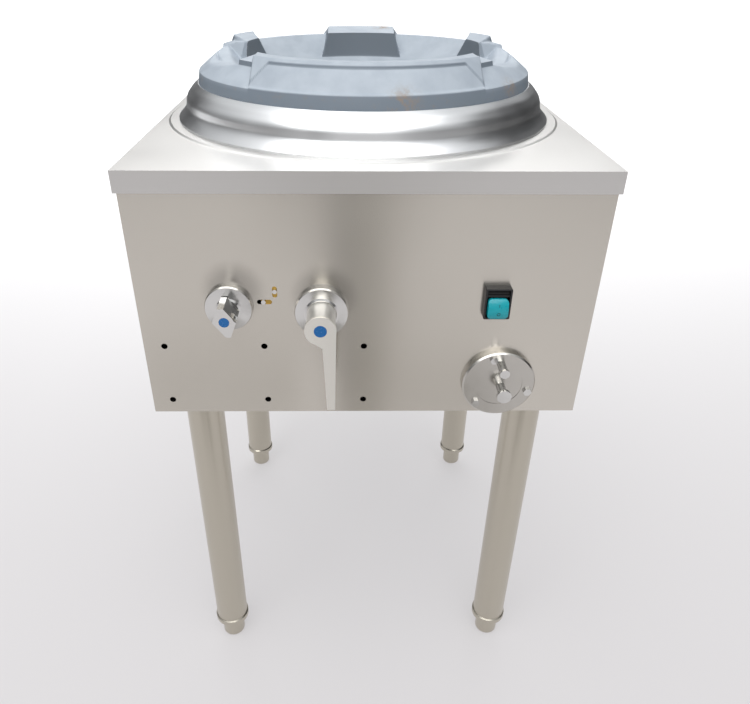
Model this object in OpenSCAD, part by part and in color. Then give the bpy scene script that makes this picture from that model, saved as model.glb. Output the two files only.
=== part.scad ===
// Free-standing wok range: a stainless cabinet on four tube legs, a white worktop, a spun collar
// and a cast wok ring over a lined burner with a blower, worked from the front panel.
// Millimetres. X is to the right, Y to the rear and Z up. The origin is on the floor, under the
// middle of the outline from the lever's face to the worktop's rear lip.

/* [Worktop] */
// Width of the worktop
worktop_w = 600; // [594:1:640]
// Depth of the worktop, front lip to rear lip
worktop_d = 640; // [636:1:680]
// Height of the worktop above the floor
worktop_h = 880; // [860:1:920]
// Thickness of the sheet steel
sheet = 1.2; // [1:0.1:1.5]
// Height of the folded lip
lip_h = 27; // [22:1:32]
// Height of the hem folded inside the lip
hem_h = 10; // [6:1:14]
// Radius of the pressed step around the collar
step_r = 294; // [288:0.5:295]
// Width of the slope of the pressed step
step_w = 3; // [2:0.5:4]
// Rise of the pressed step
step_rise = 1.5; // [1:0.1:2.5]

/* [Cabinet] */
// Distance from the worktop's lip to the cabinet at the front and the sides
cabinet_inset = 3.6; // [2.8:0.1:5]
// Height of the front panel below the lip
panel_h = 316.4; // [312:0.5:330]
// Overhang of the worktop behind the cabinet
rear_overhang = 60; // [50:1:70]
// Depth of the folded returns of the panels
return_d = 20; // [16:1:24]
// Height of the upright side of the base frame's angle iron
angle_h = 15; // [13:0.5:15]
// Width of the level side of the angle iron
angle_w = 16; // [14:0.5:16.5]
// Thickness of the angle iron
angle_t = 3; // [2.5:0.5:4]
// Width of the two bars under the burner
bar_w = 40; // [34:1:44]
// Thickness of the bars
bar_t = 4; // [3:0.5:5]
// Distance of the bars from the middle plane
bar_x = 52; // [48:1:56]

/* [Legs] */
// Outside radius of a leg tube
leg_r = 27; // [25.5:0.5:28]
// Wall of a leg tube
leg_wall = 1.5; // [1.2:0.1:2]
// Distance of the leg axes from the middle plane
leg_x = 237; // [225:1:245]
// Distance of the front leg axes from the cabinet's front
leg_front = 46.4; // [46.2:0.2:60]
// Distance of the rear leg axes from the cabinet's rear
leg_rear = 48; // [46:1:60]
// Radius of an adjustable foot
foot_r = 19; // [17:0.5:20]
// Height of a foot that shows below the collar
foot_h = 40; // [34:1:44]
// Rounding of the foot's lower edge
foot_round = 5; // [3:0.5:7]
// Length of a foot inside its collar
foot_stem_h = 42; // [40:1:50]
// Radius of the rolled collar at the end of a leg
leg_collar_r = 29; // [28.5:0.5:30]
// Height of the rolled collar that shows
leg_collar_h = 12; // [10:1:16]
// Length of a collar inside its leg
leg_collar_depth = 44; // [36:1:50]
// Length of the socket stub in a leg
socket_h = 60; // [40:1:80]

/* [Spun collar] */
// Radius of the collar's foot on the worktop
bell_r = 278.5; // [276:0.5:281]
// Radius where the collar turns in under the ring
bell_neck_r = 249; // [247:0.5:252]
// Radius of the opening in the collar's top
bell_seat_r = 230; // [229.8:0.1:232]
// Height of the collar's top above the worktop
bell_h = 50.7; // [46:0.5:56]
// Thickness of the collar's sheet
bell_t = 1.5; // [1.2:0.1:2]

/* [Wok ring] */
// Outside radius of the ring's lower edge
ring_r = 245.2; // [242:0.2:246]
// Height of the ring's upright rim
ring_rim_h = 16.6; // [14:0.2:20]
// Inward draft of the upright rim
ring_draft = 2.9; // [2:0.1:4]
// Radius of the outer edge of the lugs
lug_outer_r = 215.6; // [212:0.2:218]
// Radius of the inner edge of the lugs
lug_inner_r = 175.3; // [172:0.2:178]
// Height of the outer edge of the lugs over the ring's seat
lug_outer_h = 51.3; // [48:0.5:54]
// Height of the inner edge of the lugs over the ring's seat
lug_inner_h = 47.3; // [44:0.5:48]
// Height of the crest between the lugs over the ring's seat
crest_h = 40; // [38:0.5:42]
// Height of the lowest point of a front flame exit over the ring's seat
exit_h = 28.5; // [26:0.5:34]
// Radius of a front flame exit's hollow
exit_curve_r = 330; // [300:5:400]
// Direction of the front flame exits from the front
exit_angle = 73; // [70:1:76]
// Radius of the ring's throat
throat_r = 150; // [144:1:156]
// Depth of the ring's skirt below its seat
skirt_h = 20; // [14:1:24]
// Half the angle of the front lug at its inner edge
front_in_angle = 57; // [54:0.5:60]
// Half the angle of the front lug at its outer edge
front_out_angle = 43; // [41.5:0.5:45]
// Lean of the lugs' flanks from upright
lug_lean = 31; // [26:1:34]
// Half the angle of the front lug with its low ledges
front_ledge_angle = 50.6; // [49:0.2:52]
// Half the angle of the rear lug at its inner edge
rear_in_angle = 19; // [17:0.5:21]
// Half the angle of the rear lug at its outer edge
rear_out_angle = 15.3; // [14:0.1:17]
// Height of the low ledges over the ring's seat
ledge_h = 43; // [42.5:0.1:44]
// Depth of the bare panel in the front lug
lug_panel_depth = 2.4; // [1.5:0.1:3]

/* [Burner] */
// Outside radius of the combustion drum
drum_r = 226; // [222:1:227]
// Wall of the drum
drum_t = 2; // [1.5:0.1:3]
// Depth of the drum's upright wall below the worktop
drum_wall_h = 120; // [110:1:130]
// Depth of the drum's lower end below the worktop
drum_h = 205; // [200:1:210]
// Outside radius of the drum's lower end
drum_low_r = 106; // [103:1:110]
// Radius of the lining at its rim
lining_r = 165; // [155:1:175]
// Radius of the lining at its lower end
lining_low_r = 96; // [95:0.5:98]
// Height of the lining's rim over the worktop
lining_top = 24; // [16:1:28]
// Radius of the burner head
burner_r = 84; // [76:1:86]
// Height of the burner head
burner_h = 26; // [20:1:30]
// Radius of the air box under the burner head
air_box_r = 100; // [96:1:104]
// Radius of a flame hole
flame_hole_r = 3; // [2:0.5:4]

/* [Blower] */
// Radius of the blower wheel
wheel_r = 49; // [44:1:50]
// Width of the blower wheel
wheel_w = 44; // [36:1:46]
// Smallest radius of the scroll
scroll_r = 57; // [55:0.5:58]
// Growth of the scroll's radius over one turn
scroll_growth = 13; // [10:0.5:14]
// Width of the blower housing
scroll_w = 56; // [52:1:62]
// Height of the duct to the air box
duct_h = 44; // [38:1:48]
// Radius of the blower motor
motor_r = 42; // [36:1:46]
// Length of the blower motor
motor_l = 84; // [70:1:100]
// Radius of the blower shaft
shaft_r = 6; // [4:0.5:8]

/* [Valves] */
// Distance of the pilot valve from the middle plane
pilot_x = 177.5; // [170:0.5:185]
// Depth of the pilot valve below the worktop
pilot_z = 176.5; // [170:0.5:185]
// Radius of the pilot valve's escutcheon
pilot_plate_r = 31; // [28:0.5:33]
// Length of the pilot knob across its points
pilot_knob_l = 40; // [36:0.5:44]
// Width of the pilot knob
pilot_knob_w = 29.5; // [26:0.5:31]
// Depth of the pilot knob from the escutcheon to its face
pilot_knob_d = 33.4; // [28:0.5:36]
// Distance of the main valve from the middle plane
main_x = 58.5; // [50:0.5:66]
// Depth of the main valve below the worktop
main_z = 183; // [176:0.5:190]
// Radius of the main valve's escutcheon
main_plate_r = 35; // [32:0.5:38]
// Depth of both escutcheons
plate_d = 11; // [9:0.5:13]
// Radius of the lever's barrel
barrel_r = 18.5; // [16:0.5:19]
// Radius of the lever's head
lever_head_r = 19.8; // [19.5:0.1:21]
// Thickness of the lever's arm
lever_t = 5; // [4:0.5:6]
// Distance of the lever's face in front of the worktop's lip
lever_reach = 52; // [49:0.5:56]
// Length of the lever's arm below its axis
lever_l = 118; // [100:1:122]
// Radius of a valve stem
stem_r = 5; // [4:0.5:6]

/* [Front panel] */
// Radius of the panel's fixing holes
panel_hole_r = 4.25; // [3:0.25:5]
// Spacing of the fixing holes along the panel
panel_hole_pitch_x = 133; // [128:0.5:138]
// Spacing of the fixing holes up the panel
panel_hole_pitch_z = 86.4; // [82:0.2:90]
// Distance of the left fixing holes from the middle plane
panel_hole_x = 269; // [264:0.5:272]
// Depth of the upper fixing holes below the worktop
panel_hole_z = 236.4; // [232:0.2:240]
// Width of the two igniter slots
slot_w = 6.4; // [6.2:0.1:8]
// Height of the upright igniter slot
slot_h = 15.6; // [13:0.2:17]
// Length of the level igniter slot
slot_l = 19.4; // [16:0.2:20.5]
// Width of the switch frame
switch_w = 34; // [32:0.5:38]
// Height of the switch frame
switch_h = 43; // [41:0.5:46]
// Depth of the switch frame in front of the panel
switch_d = 11.5; // [10:0.5:13]
// Distance of the switch from the middle plane
switch_x = 167; // [160:0.5:175]
// Depth of the middle of the switch below the worktop
switch_z = 168.4; // [164:0.2:175]

/* [Air port] */
// Distance of the port from the middle plane
port_x = 182.7; // [178:0.1:186]
// Depth of the middle of the port below the worktop
port_z = 292.2; // [288:0.1:293]
// Radius of the port cover
port_r = 50; // [48:0.5:51]
// Depth of the port cover
port_d = 10; // [8:0.5:12]
// Length of the posts in front of the cover
post_l = 25; // [20:0.5:28]
// Radius of the damper spindle
damper_r = 6.15; // [5.5:0.05:6.5]
// Radius of the cap on the damper spindle
damper_cap_r = 9.8; // [8.5:0.1:11]

/* [Hidden] */
$fn = 72;

// Overrun of every cut past the face that it opens
cut = 1;
// Radial clearance of a shaft that turns in its bore
running = 0.05;
// Clearance of a piece that is slid into another
slip = 0.15;

// Colours
STAINLESS = [0.72, 0.70, 0.66];
WHITE_STEEL = [0.92, 0.92, 0.93];
POLISHED = [0.86, 0.86, 0.87];
CHROME = [0.88, 0.88, 0.88];
CAST_GREY = [0.78, 0.82, 0.86];
DARK_IRON = [0.25, 0.25, 0.26];
FIRE_CLAY = [0.78, 0.70, 0.58];
BRASS = [0.78, 0.60, 0.25];
BLACK = [0.10, 0.10, 0.11];
TEAL = [0.0, 0.55, 0.60];
BLUE = [0.0, 0.33, 0.60];

// Levels and faces of the cabinet
front_y = (lever_reach - worktop_d) / 2;
rear_y = front_y + worktop_d;
ring_y = front_y + worktop_d / 2;
under_z = worktop_h - sheet;
plateau_z = worktop_h + step_rise;
cabinet_x = worktop_w / 2 - cabinet_inset;
panel_y = front_y + cabinet_inset;
cabinet_rear = rear_y - rear_overhang;
cabinet_low = worktop_h - lip_h - panel_h;
frame_x = cabinet_x - sheet;
frame_front = panel_y + sheet;
frame_rear = cabinet_rear - sheet;
panel_full_h = under_z - cabinet_low;
bar_top = cabinet_low + angle_t + bar_t;

// Turns a piece so that its own Z points out of the front panel, at x and a depth below the worktop
module at_panel(x, depth) {
  translate([x, panel_y, worktop_h - depth]) rotate([90, 0, 0]) children();
}

// Turns a piece so that its own Z points to the rear
module to_rear(p) {
  translate(p) rotate([-90, 0, 0]) children();
}

// Turns a piece so that its own X, Y and Z lie along Y, Z and X
module along_x(p) {
  translate(p) rotate([90, 0, 90]) children();
}

// Places a piece on the burner's axis, at a height over the worktop
module on_axis(h) {
  translate([0, ring_y, worktop_h + h]) children();
}

// Round bar from a to b
module rod(a, b, r) {
  v = b - a;
  translate(a) rotate([0, acos(v.z / norm(v)), atan2(v.y, v.x)]) cylinder(r = r, h = norm(v));
}

// Round pipe through a list of points, with a brazed elbow at each corner, its seam on the outside
elbow_share = 1.15;
function unit(v) = v / norm(v);
function outside(v) = atan2(-v.y, -v.x);
module pipe_run(points, r) {
  for (i = [1 : len(points) - 1]) rod(points[i - 1], points[i], r);
  for (i = [1 : len(points) - 2]) translate(points[i])
    rotate([0, 0, outside(unit(points[i - 1] - points[i]) + unit(points[i + 1] - points[i]))])
      sphere(r * elbow_share);
}

// Tube
module tube(r_out, r_in, h) {
  difference() {
    cylinder(r = r_out, h = h);
    translate([0, 0, -cut]) cylinder(r = r_in, h = h + 2 * cut);
  }
}

// Hexagonal nut across its flats
module hex_nut(flats, h) {
  cylinder(r = flats / sqrt(3), h = h, $fn = 6);
}

// Flat rectangle with round corners, about its middle
module round_rect(w, h, r) {
  square([w - 2 * r, h], center = true);
  square([w, h - 2 * r], center = true);
  for (sx = [-1, 1], sy = [-1, 1]) translate([sx * (w / 2 - r), sy * (h / 2 - r)]) circle(r);
}

// Point on a smooth curve through the points p, at share t of piece i
function curve_at(p, i, t) =
  let (a = p[max(i - 1, 0)], b = p[i], c = p[i + 1], d = p[min(i + 2, len(p) - 1)])
  (2 * b + (c - a) * t + (2 * a - 5 * b + 4 * c - d) * t * t + (3 * b - a - 3 * c + d) * t * t * t) / 2;

// Smooth curve through the points p, with n points a piece
function smooth(p, n) = concat([for (i = [0 : len(p) - 2], k = [0 : n - 1]) curve_at(p, i, k / n)],
  [p[len(p) - 1]]);

// Order of the points turned round
function reversed(p) = [for (i = [len(p) - 1 : -1 : 0]) p[i]];

// Worktop: folded sheet with a hemmed lip and a pressed step around the opening for the drum
opening_r = drum_r + slip;
module worktop() color(WHITE_STEEL) {
  difference() {
    translate([-worktop_w / 2, front_y, under_z]) cube([worktop_w, worktop_d, sheet]);
    translate([0, ring_y, under_z - cut]) cylinder(r = step_r, h = sheet + 2 * cut);
  }
  translate([0, ring_y, under_z]) rotate_extrude() polygon([
    [step_r + sheet, 0], [step_r + sheet, sheet], [step_r, sheet], [step_r - step_w, sheet + step_rise],
    [opening_r, sheet + step_rise], [opening_r, step_rise], [step_r - step_w, step_rise], [step_r, 0]]);
  lip_low = worktop_h - lip_h;
  frame_wall(0, sheet, lip_low, lip_h - sheet);
  frame_wall(sheet, sheet, lip_low, hem_h);
}

// Upright wall along the worktop's four edges, set in from the edge
module frame_wall(inset, t, z, h) {
  translate([0, ring_y, z]) difference() {
    translate([inset - worktop_w / 2, inset - worktop_d / 2, 0])
      cube([worktop_w - 2 * inset, worktop_d - 2 * inset, h]);
    translate([inset + t - worktop_w / 2, inset + t - worktop_d / 2, -cut])
      cube([worktop_w - 2 * (inset + t), worktop_d - 2 * (inset + t), h + 2 * cut]);
  }
}

// Spun collar: flared foot, hollow waist and full shoulder that turns in under the ring.
// Shares run from the neck's radius out to the foot's, and from the foot up to the top.
bell_shares = [[1, 0.06], [0.81, 0.17], [0.67, 0.275], [0.59, 0.375], [0.56, 0.48], [0.53, 0.58],
  [0.46, 0.68], [0.33, 0.78], [0.17, 0.885], [-0.08, 1]];
bell_rise = bell_h - step_rise;
bell_foot_w = 14;
function bell_line(t) = [for (p = smooth(bell_shares, 3))
  [bell_neck_r - t + (bell_r - bell_neck_r) * p.x, (bell_rise - t) * p.y]];
module bell_collar() color(POLISHED) translate([0, ring_y, plateau_z]) rotate_extrude() polygon(concat(
  [[bell_r - bell_foot_w, 0], [bell_r, 0]], bell_line(0), [[bell_seat_r, bell_rise]],
  [[bell_seat_r, bell_rise - bell_t]], reversed(bell_line(bell_t)),
  [[bell_r - bell_t, bell_t], [bell_r - bell_foot_w, bell_t]]));

// Wok ring: hollow-backed casting with four lugs, four flame exits between them and a skirt.
// Heights are over its seat on the collar, and angles are from the front, to the right.
ring_wall = 12;
ring_gap = 0.5;
rim_top_r = ring_r - ring_draft;
crest_w = 6;
crest_r = lug_outer_r - ring_draft;
spigot_w = 8;
spigot_r = bell_seat_r - ring_gap;
module ring_base() rotate_extrude() polygon([
  [ring_r, 0], [rim_top_r, ring_rim_h], [crest_r, crest_h], [crest_r - crest_w, crest_h],
  [throat_r + ring_wall, ring_wall / 4], [throat_r, -ring_wall / 2], [throat_r, -skirt_h],
  [throat_r + ring_wall, -skirt_h], [throat_r + ring_wall, -ring_wall],
  [crest_r - crest_w, crest_h - 2 * ring_wall], [crest_r, crest_h - 2 * ring_wall],
  [spigot_r - spigot_w, ring_wall / 2], [spigot_r - spigot_w, -crest_w], [spigot_r, -crest_w],
  [spigot_r, 0]]);

// Outline of the lugs, turned all round: the top falls inward and the inner face is upright
module lug_stock() rotate_extrude() polygon([
  [rim_top_r, ring_rim_h], [lug_outer_r, lug_outer_h], [lug_inner_r, lug_inner_h],
  [lug_inner_r, ring_wall / 2], [lug_outer_r, crest_h - ring_wall],
  [rim_top_r - ring_wall, ring_rim_h / 2]]);

// Outline of the low ledges beside the lugs, turned all round
module ledge_stock() rotate_extrude() polygon([
  [lug_outer_r, ring_wall], [lug_outer_r, ledge_h], [lug_inner_r, lug_inner_h],
  [lug_inner_r, ring_wall / 2]]);

// Place at radius r and an angle from the front
function polar(r, a) = [r * sin(a), -r * cos(a)];

// Half of space on one side of a leaning flank, which runs through a lug's inner and outer corner
module flank_side(in, out, side) {
  a = polar(lug_inner_r, in);
  b = polar(lug_outer_r, out);
  translate([a.x, a.y, lug_inner_h]) rotate([0, 0, atan2(b.y - a.y, b.x - a.x)])
    rotate([-side * lug_lean, 0, 0]) translate([-2 * ring_r, side > 0 ? 0 : -2 * ring_r, -2 * ring_r])
      cube([4 * ring_r, 2 * ring_r, 4 * ring_r]);
}

// A lug between two flanks, each with its angle at the inner edge and the outer edge
lug_sector = 65;
module lug(from, to) intersection() {
  lug_stock();
  linear_extrude(2 * lug_outer_h) let (middle = (from[0] + to[0]) / 2) polygon([[0, 0],
    polar(3 * ring_r, middle - lug_sector), polar(3 * ring_r, middle),
    polar(3 * ring_r, middle + lug_sector)]);
  flank_side(from[0], from[1], 1);
  flank_side(to[0], to[1], -1);
}

// Plan of a ledge that starts just inside a lug's inner corner and ends at its own outer corner
ledge_start_share = 0.08;
module ledge_plan(in, out, flank) linear_extrude(2 * lug_outer_h, center = true) polygon([
  polar(lug_inner_r - ring_wall, in + (flank - in) * ledge_start_share), polar(lug_outer_r, out),
  polar(ring_r, (out + flank) / 2), polar(lug_outer_r, flank),
  polar(lug_inner_r, (in + 2 * flank) / 3)]);

// Bare panel sunk in the front lug's outer slope
panel_top_share = 0.88;
panel_low_share = 0.1;
panel_top_angle = 33.5;
panel_low_angle = 39.5;
slope = [lug_outer_r - rim_top_r, lug_outer_h - ring_rim_h];
slope_normal = [slope.y, -slope.x] / norm(slope);
function on_slope(share, d) = [rim_top_r, ring_rim_h] + slope * share + slope_normal * d;
module lug_panel() intersection() {
  rotate_extrude() polygon([on_slope(panel_low_share, cut), on_slope(panel_low_share, -lug_panel_depth),
    on_slope(panel_top_share, -lug_panel_depth), on_slope(panel_top_share, cut)]);
  linear_extrude(lug_outer_h) polygon([[0, -throat_r], polar(lug_outer_r, panel_top_angle),
    polar(ring_r, panel_low_angle), polar(3 * ring_r, 0), polar(ring_r, -panel_low_angle),
    polar(lug_outer_r, -panel_top_angle)]);
}

// Hollow of a front flame exit, from the throat out over the rim
module flame_exit(side) rotate([0, 0, side * exit_angle]) translate([0, 0, exit_h + exit_curve_r])
  rotate([90, 0, 0]) cylinder(r = exit_curve_r, h = 2 * ring_r, $fn = 180);

// Flanks of a side lug: each angle at the inner edge and the outer edge
side_lug_front = [96, 110];
side_lug_rear = [112, 125];
side_ledge_angle = 99;
front_flank = [front_in_angle, front_out_angle];
rear_flank = [rear_in_angle, rear_out_angle];
module wok_ring() color(CAST_GREY) on_axis(bell_h) {
  difference() {
    ring_base();
    for (side = [-1, 1]) flame_exit(side);
  }
  difference() {
    lug(-front_flank, front_flank);
    lug_panel();
  }
  lug([180, 180] - rear_flank, [180, 180] + rear_flank);
  for (side = [0, 1]) mirror([side, 0, 0]) {
    lug(side_lug_front, side_lug_rear);
    intersection() {
      ledge_stock();
      union() {
        ledge_plan(front_in_angle, front_ledge_angle, front_out_angle);
        ledge_plan(side_lug_front[0], side_ledge_angle, side_lug_front[1]);
      }
    }
  }
}

// Slot with round ends, w wide and l long along X
module slot(l, w) {
  square([l - w, w], center = true);
  for (sx = [-1, 1]) translate([sx * (l - w) / 2, 0]) circle(w / 2);
}

// Cut through the front panel
module panel_cut(x, depth) at_panel(x, depth) translate([0, 0, -sheet - cut])
  linear_extrude(sheet + 2 * cut) children();

// Front panel: plate with folded returns, cut out for the valves, the igniter, the switch, the air
// port and six fixings
neck_r = 11;
level_slot = [-131.7, 170.3];
upright_slot = [-118, 156.1];
switch_wall = 2.5;
port_hole_r = 36;
module front_panel() color(STAINLESS) {
  difference() {
    translate([-cabinet_x, panel_y, cabinet_low]) cube([2 * cabinet_x, sheet, panel_full_h]);
    panel_cut(-pilot_x, pilot_z) circle(neck_r + slip);
    panel_cut(-main_x, main_z) circle(neck_r + slip);
    panel_cut(level_slot.x, level_slot.y) slot(slot_l, slot_w);
    panel_cut(upright_slot.x, upright_slot.y) rotate(90) slot(slot_h, slot_w);
    panel_cut(switch_x, switch_z)
      square([switch_w - 2 * switch_wall, switch_h - 2 * switch_wall], center = true);
    panel_cut(port_x, port_z) circle(port_hole_r);
    for (a = bolt_angles)
      panel_cut(port_x, port_z) translate([bolt_ring_r * cos(a), bolt_ring_r * sin(a)])
        circle(bolt_r + slip);
    for (i = [0 : 2], j = [0, 1])
      panel_cut(i * panel_hole_pitch_x - panel_hole_x, panel_hole_z + j * panel_hole_pitch_z)
        circle(panel_hole_r);
  }
  for (x = [-cabinet_x, frame_x]) translate([x, frame_front, cabinet_low])
    cube([sheet, return_d, panel_full_h]);
  translate([-frame_x, frame_front, under_z - sheet]) cube([2 * frame_x, return_d, sheet]);
}

// Side panel: plate with a folded top return that carries the worktop
side_front = frame_front + return_d;
module side_panel(side) color(STAINLESS) {
  x = side > 0 ? frame_x : -cabinet_x;
  translate([x, side_front, cabinet_low]) cube([sheet, frame_rear - side_front, panel_full_h]);
  translate([side > 0 ? frame_x - return_d : -frame_x, side_front, under_z - sheet])
    cube([return_d, frame_rear - return_d - side_front, sheet]);
}
module side_panel_left() side_panel(-1);
module side_panel_right() side_panel(1);

// Back panel: plate with a top return, vents for the motor and holes for the inlet and the gland
pipe_r = 10;
supply_x = -262;
supply_depth = 180;
supply_z = worktop_h - supply_depth;
nipple_r = 13.2;
gland_up = 103;
gland_at = [200, cabinet_low + gland_up];
gland_r = 8;
vent_count = 6;
vent_l = 90;
vent_w = 6;
vent_pitch = 14;
vent_up = 63;
vent_at = [80, cabinet_low + vent_up];
module back_panel() color(STAINLESS) {
  difference() {
    translate([-cabinet_x, frame_rear, cabinet_low]) cube([2 * cabinet_x, sheet, panel_full_h]);
    to_rear([supply_x, frame_rear - cut, supply_z]) cylinder(r = nipple_r + slip, h = sheet + 2 * cut);
    to_rear([gland_at.x, frame_rear - cut, gland_at.y]) cylinder(r = gland_r + slip, h = sheet + 2 * cut);
    for (i = [0 : vent_count - 1])
      to_rear([vent_at.x, frame_rear - cut, vent_at.y + i * vent_pitch])
        linear_extrude(sheet + 2 * cut) slot(vent_l, vent_w);
  }
  translate([-frame_x, frame_rear - return_d, under_z - sheet]) cube([2 * frame_x, return_d, sheet]);
}

// Base frame: welded angle iron with a floor sheet, which the legs pass, and two bars under the
// burner and the blower
module base_frame() color(DARK_IRON) {
  depth = frame_rear - frame_front;
  difference() {
    translate([angle_t - frame_x, frame_front + angle_t, cabinet_low])
      cube([2 * (frame_x - angle_t), depth - 2 * angle_t, sheet]);
    for (side = [-1, 1], i = [0, 1]) translate([side * leg_x, leg_y[i], cabinet_low - cut])
      cylinder(r = leg_r + slip, h = sheet + 2 * cut);
  }
  translate([0, frame_front, cabinet_low]) difference() {
    translate([-frame_x, 0, 0]) cube([2 * frame_x, depth, angle_h]);
    translate([angle_t - frame_x, angle_t, angle_t])
      cube([2 * (frame_x - angle_t), depth - 2 * angle_t, angle_h]);
    translate([angle_w - frame_x, angle_w, -cut])
      cube([2 * (frame_x - angle_w), depth - 2 * angle_w, angle_h]);
  }
  for (side = [-1, 1]) translate([side * bar_x - bar_w / 2, frame_front + angle_t, cabinet_low + angle_t])
    cube([bar_w, depth - 2 * angle_t, bar_t]);
}

// Places of the four legs: side, axis and the corner of the frame beside each
leg_y = [panel_y + leg_front, cabinet_rear - leg_rear];
leg_top = cabinet_low + angle_t;
leg_in_r = leg_r - leg_wall;
collar_low = foot_h;

// Leg sockets: a corner plate on the frame with a stub down into each leg
plate_t = 4;
plate_rim = 10;
socket_t = 5;
module leg_sockets() color(DARK_IRON) for (side = [-1, 1], i = [0, 1]) {
  reach = frame_x - angle_t - leg_x;
  corner = i == 0 ? frame_front + angle_t : frame_rear - angle_t;
  inner = leg_y[i] + (i == 0 ? 1 : -1) * (leg_r + plate_rim);
  difference() {
    translate([side * leg_x + (side > 0 ? -leg_r - plate_rim : -reach), min(corner, inner), leg_top])
      cube([leg_r + plate_rim + reach, abs(corner - inner), plate_t]);
    translate([side * leg_x, leg_y[i], leg_top - cut])
      cylinder(r = leg_in_r - slip - socket_t, h = plate_t + 2 * cut);
  }
  translate([side * leg_x, leg_y[i], leg_top - socket_h])
    tube(leg_in_r - slip, leg_in_r - slip - socket_t, socket_h);
}

// Leg: round tube
module leg(side, i) color(STAINLESS) translate([side * leg_x, leg_y[i], collar_low + leg_collar_h])
  tube(leg_r, leg_in_r, leg_top - collar_low - leg_collar_h);
module leg_front_left() leg(-1, 0);
module leg_front_right() leg(1, 0);
module leg_rear_left() leg(-1, 1);
module leg_rear_right() leg(1, 1);

// Leg collars: rolled end of each leg, with the bore that guides the foot
module leg_collars() color(STAINLESS) for (side = [-1, 1], i = [0, 1])
  translate([side * leg_x, leg_y[i], collar_low]) rotate_extrude() polygon([
    [foot_r + running, 0], [leg_collar_r - leg_collar_h / 6, 0], [leg_collar_r, leg_collar_h / 6],
    [leg_collar_r, leg_collar_h * 5 / 6], [leg_collar_r - leg_collar_h / 6, leg_collar_h],
    [leg_in_r - slip, leg_collar_h], [leg_in_r - slip, leg_collar_h + leg_collar_depth],
    [foot_r + running, leg_collar_h + leg_collar_depth]]);

// Adjustable foot: rounded stud that runs up into the collar
foot_line = [for (a = [0 : 15 : 90])
  [foot_r - foot_round * (1 - sin(a)), foot_round * (1 - cos(a))]];
module foot(side, i) color(STAINLESS) translate([side * leg_x, leg_y[i], 0])
  rotate_extrude() polygon(concat([[0, 0]], foot_line,
    [[foot_r, foot_h + foot_stem_h], [0, foot_h + foot_stem_h]]));
module foot_front_left() foot(-1, 0);
module foot_front_right() foot(1, 0);
module foot_rear_left() foot(-1, 1);
module foot_rear_right() foot(1, 1);

// Combustion drum: upright wall and cone that hang from a flange on the worktop
drum_flange_w = 22;
low_flange_w = 18;
low_flange_r = air_box_r + low_flange_w;
module combustion_drum() color(DARK_IRON) on_axis(0) rotate_extrude() polygon([
  [drum_r, lining_top], [drum_r, step_rise + drum_t], [drum_r + drum_flange_w, step_rise + drum_t],
  [drum_r + drum_flange_w, step_rise], [drum_r, step_rise], [drum_r, -drum_wall_h],
  [drum_low_r, -drum_h], [low_flange_r, -drum_h], [low_flange_r, -drum_h - drum_t],
  [drum_low_r - drum_t, -drum_h - drum_t], [drum_low_r - drum_t, -drum_h],
  [drum_r - drum_t, -drum_wall_h], [drum_r - drum_t, lining_top]]);

// Refractory lining: cast bowl in the drum, from the ring down to the burner head
bowl_shares = [for (t = [0 : 0.125 : 1]) [pow(t, 0.6), t]];
bowl_line = [for (p = bowl_shares)
  [lining_low_r + (lining_r - lining_low_r) * p.x, (drum_h + lining_top) * p.y - drum_h]];
module refractory_lining() color(FIRE_CLAY) on_axis(0) rotate_extrude() polygon(concat(bowl_line,
  [[drum_r - drum_t, lining_top], [drum_r - drum_t, -drum_wall_h], [drum_low_r - drum_t, -drum_h]]));

// Air box: drum under the burner, open to the duct, the main pipe and the pilot tube
air_box_top = worktop_h - drum_h - drum_t;
main_pipe_r = 8;
main_pipe_up = 40;
main_pipe_z = bar_top + main_pipe_up;
pilot_tube_r = 3;
burner_drop = 20;
pilot_tube_z = air_box_top - burner_drop;
blower_t = 1.5;
blower_foot_t = 3;
scroll_max = scroll_r + scroll_growth;
blower_y = frame_rear - scroll_max - blower_t - blower_foot_t;
blower_z = bar_top + blower_foot_t + blower_t + scroll_max;
duct_low = -scroll_max;
duct_joint_gap = 14;
duct_joint_y = ring_y + air_box_r + duct_joint_gap;
duct_in_share = 0.92;
duct_in_y = ring_y + air_box_r * duct_in_share;
module duct_section(extra, l) translate([-scroll_w / 2 - extra, 0, duct_low - extra])
  cube([scroll_w + 2 * extra, l, duct_h + 2 * extra]);
module air_box() color(STAINLESS) difference() {
  union() {
    translate([0, ring_y, bar_top]) cylinder(r = air_box_r, h = air_box_top - bar_top);
    translate([0, ring_y, air_box_top - drum_t]) cylinder(r = low_flange_r, h = drum_t);
  }
  translate([0, ring_y, bar_top + drum_t]) cylinder(r = air_box_r - drum_t, h = air_box_top - bar_top);
  translate([0, ring_y, blower_z]) duct_section(blower_t + slip, air_box_r + cut);
  translate([0, ring_y - air_box_r - cut, main_pipe_z]) rotate([-90, 0, 0])
    cylinder(r = main_pipe_r + slip, h = air_box_r / 2);
  rod([pilot_in.x, pilot_in.y - air_box_r, pilot_tube_z], [pilot_in.x, pilot_in.y, pilot_tube_z],
    pilot_tube_r + slip);
}

// Air duct: sleeve from the blower's outlet into the air box, with a flange at the joint
duct_flange_w = 4;
module air_duct() color(STAINLESS) translate([0, duct_in_y, blower_z]) difference() {
  union() {
    duct_section(blower_t, duct_joint_y - duct_in_y);
    translate([0, duct_joint_y - duct_in_y - blower_t, 0]) duct_section(duct_flange_w, blower_t);
  }
  translate([0, -cut, 0]) duct_section(0, duct_joint_y - duct_in_y + 2 * cut);
}

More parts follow.
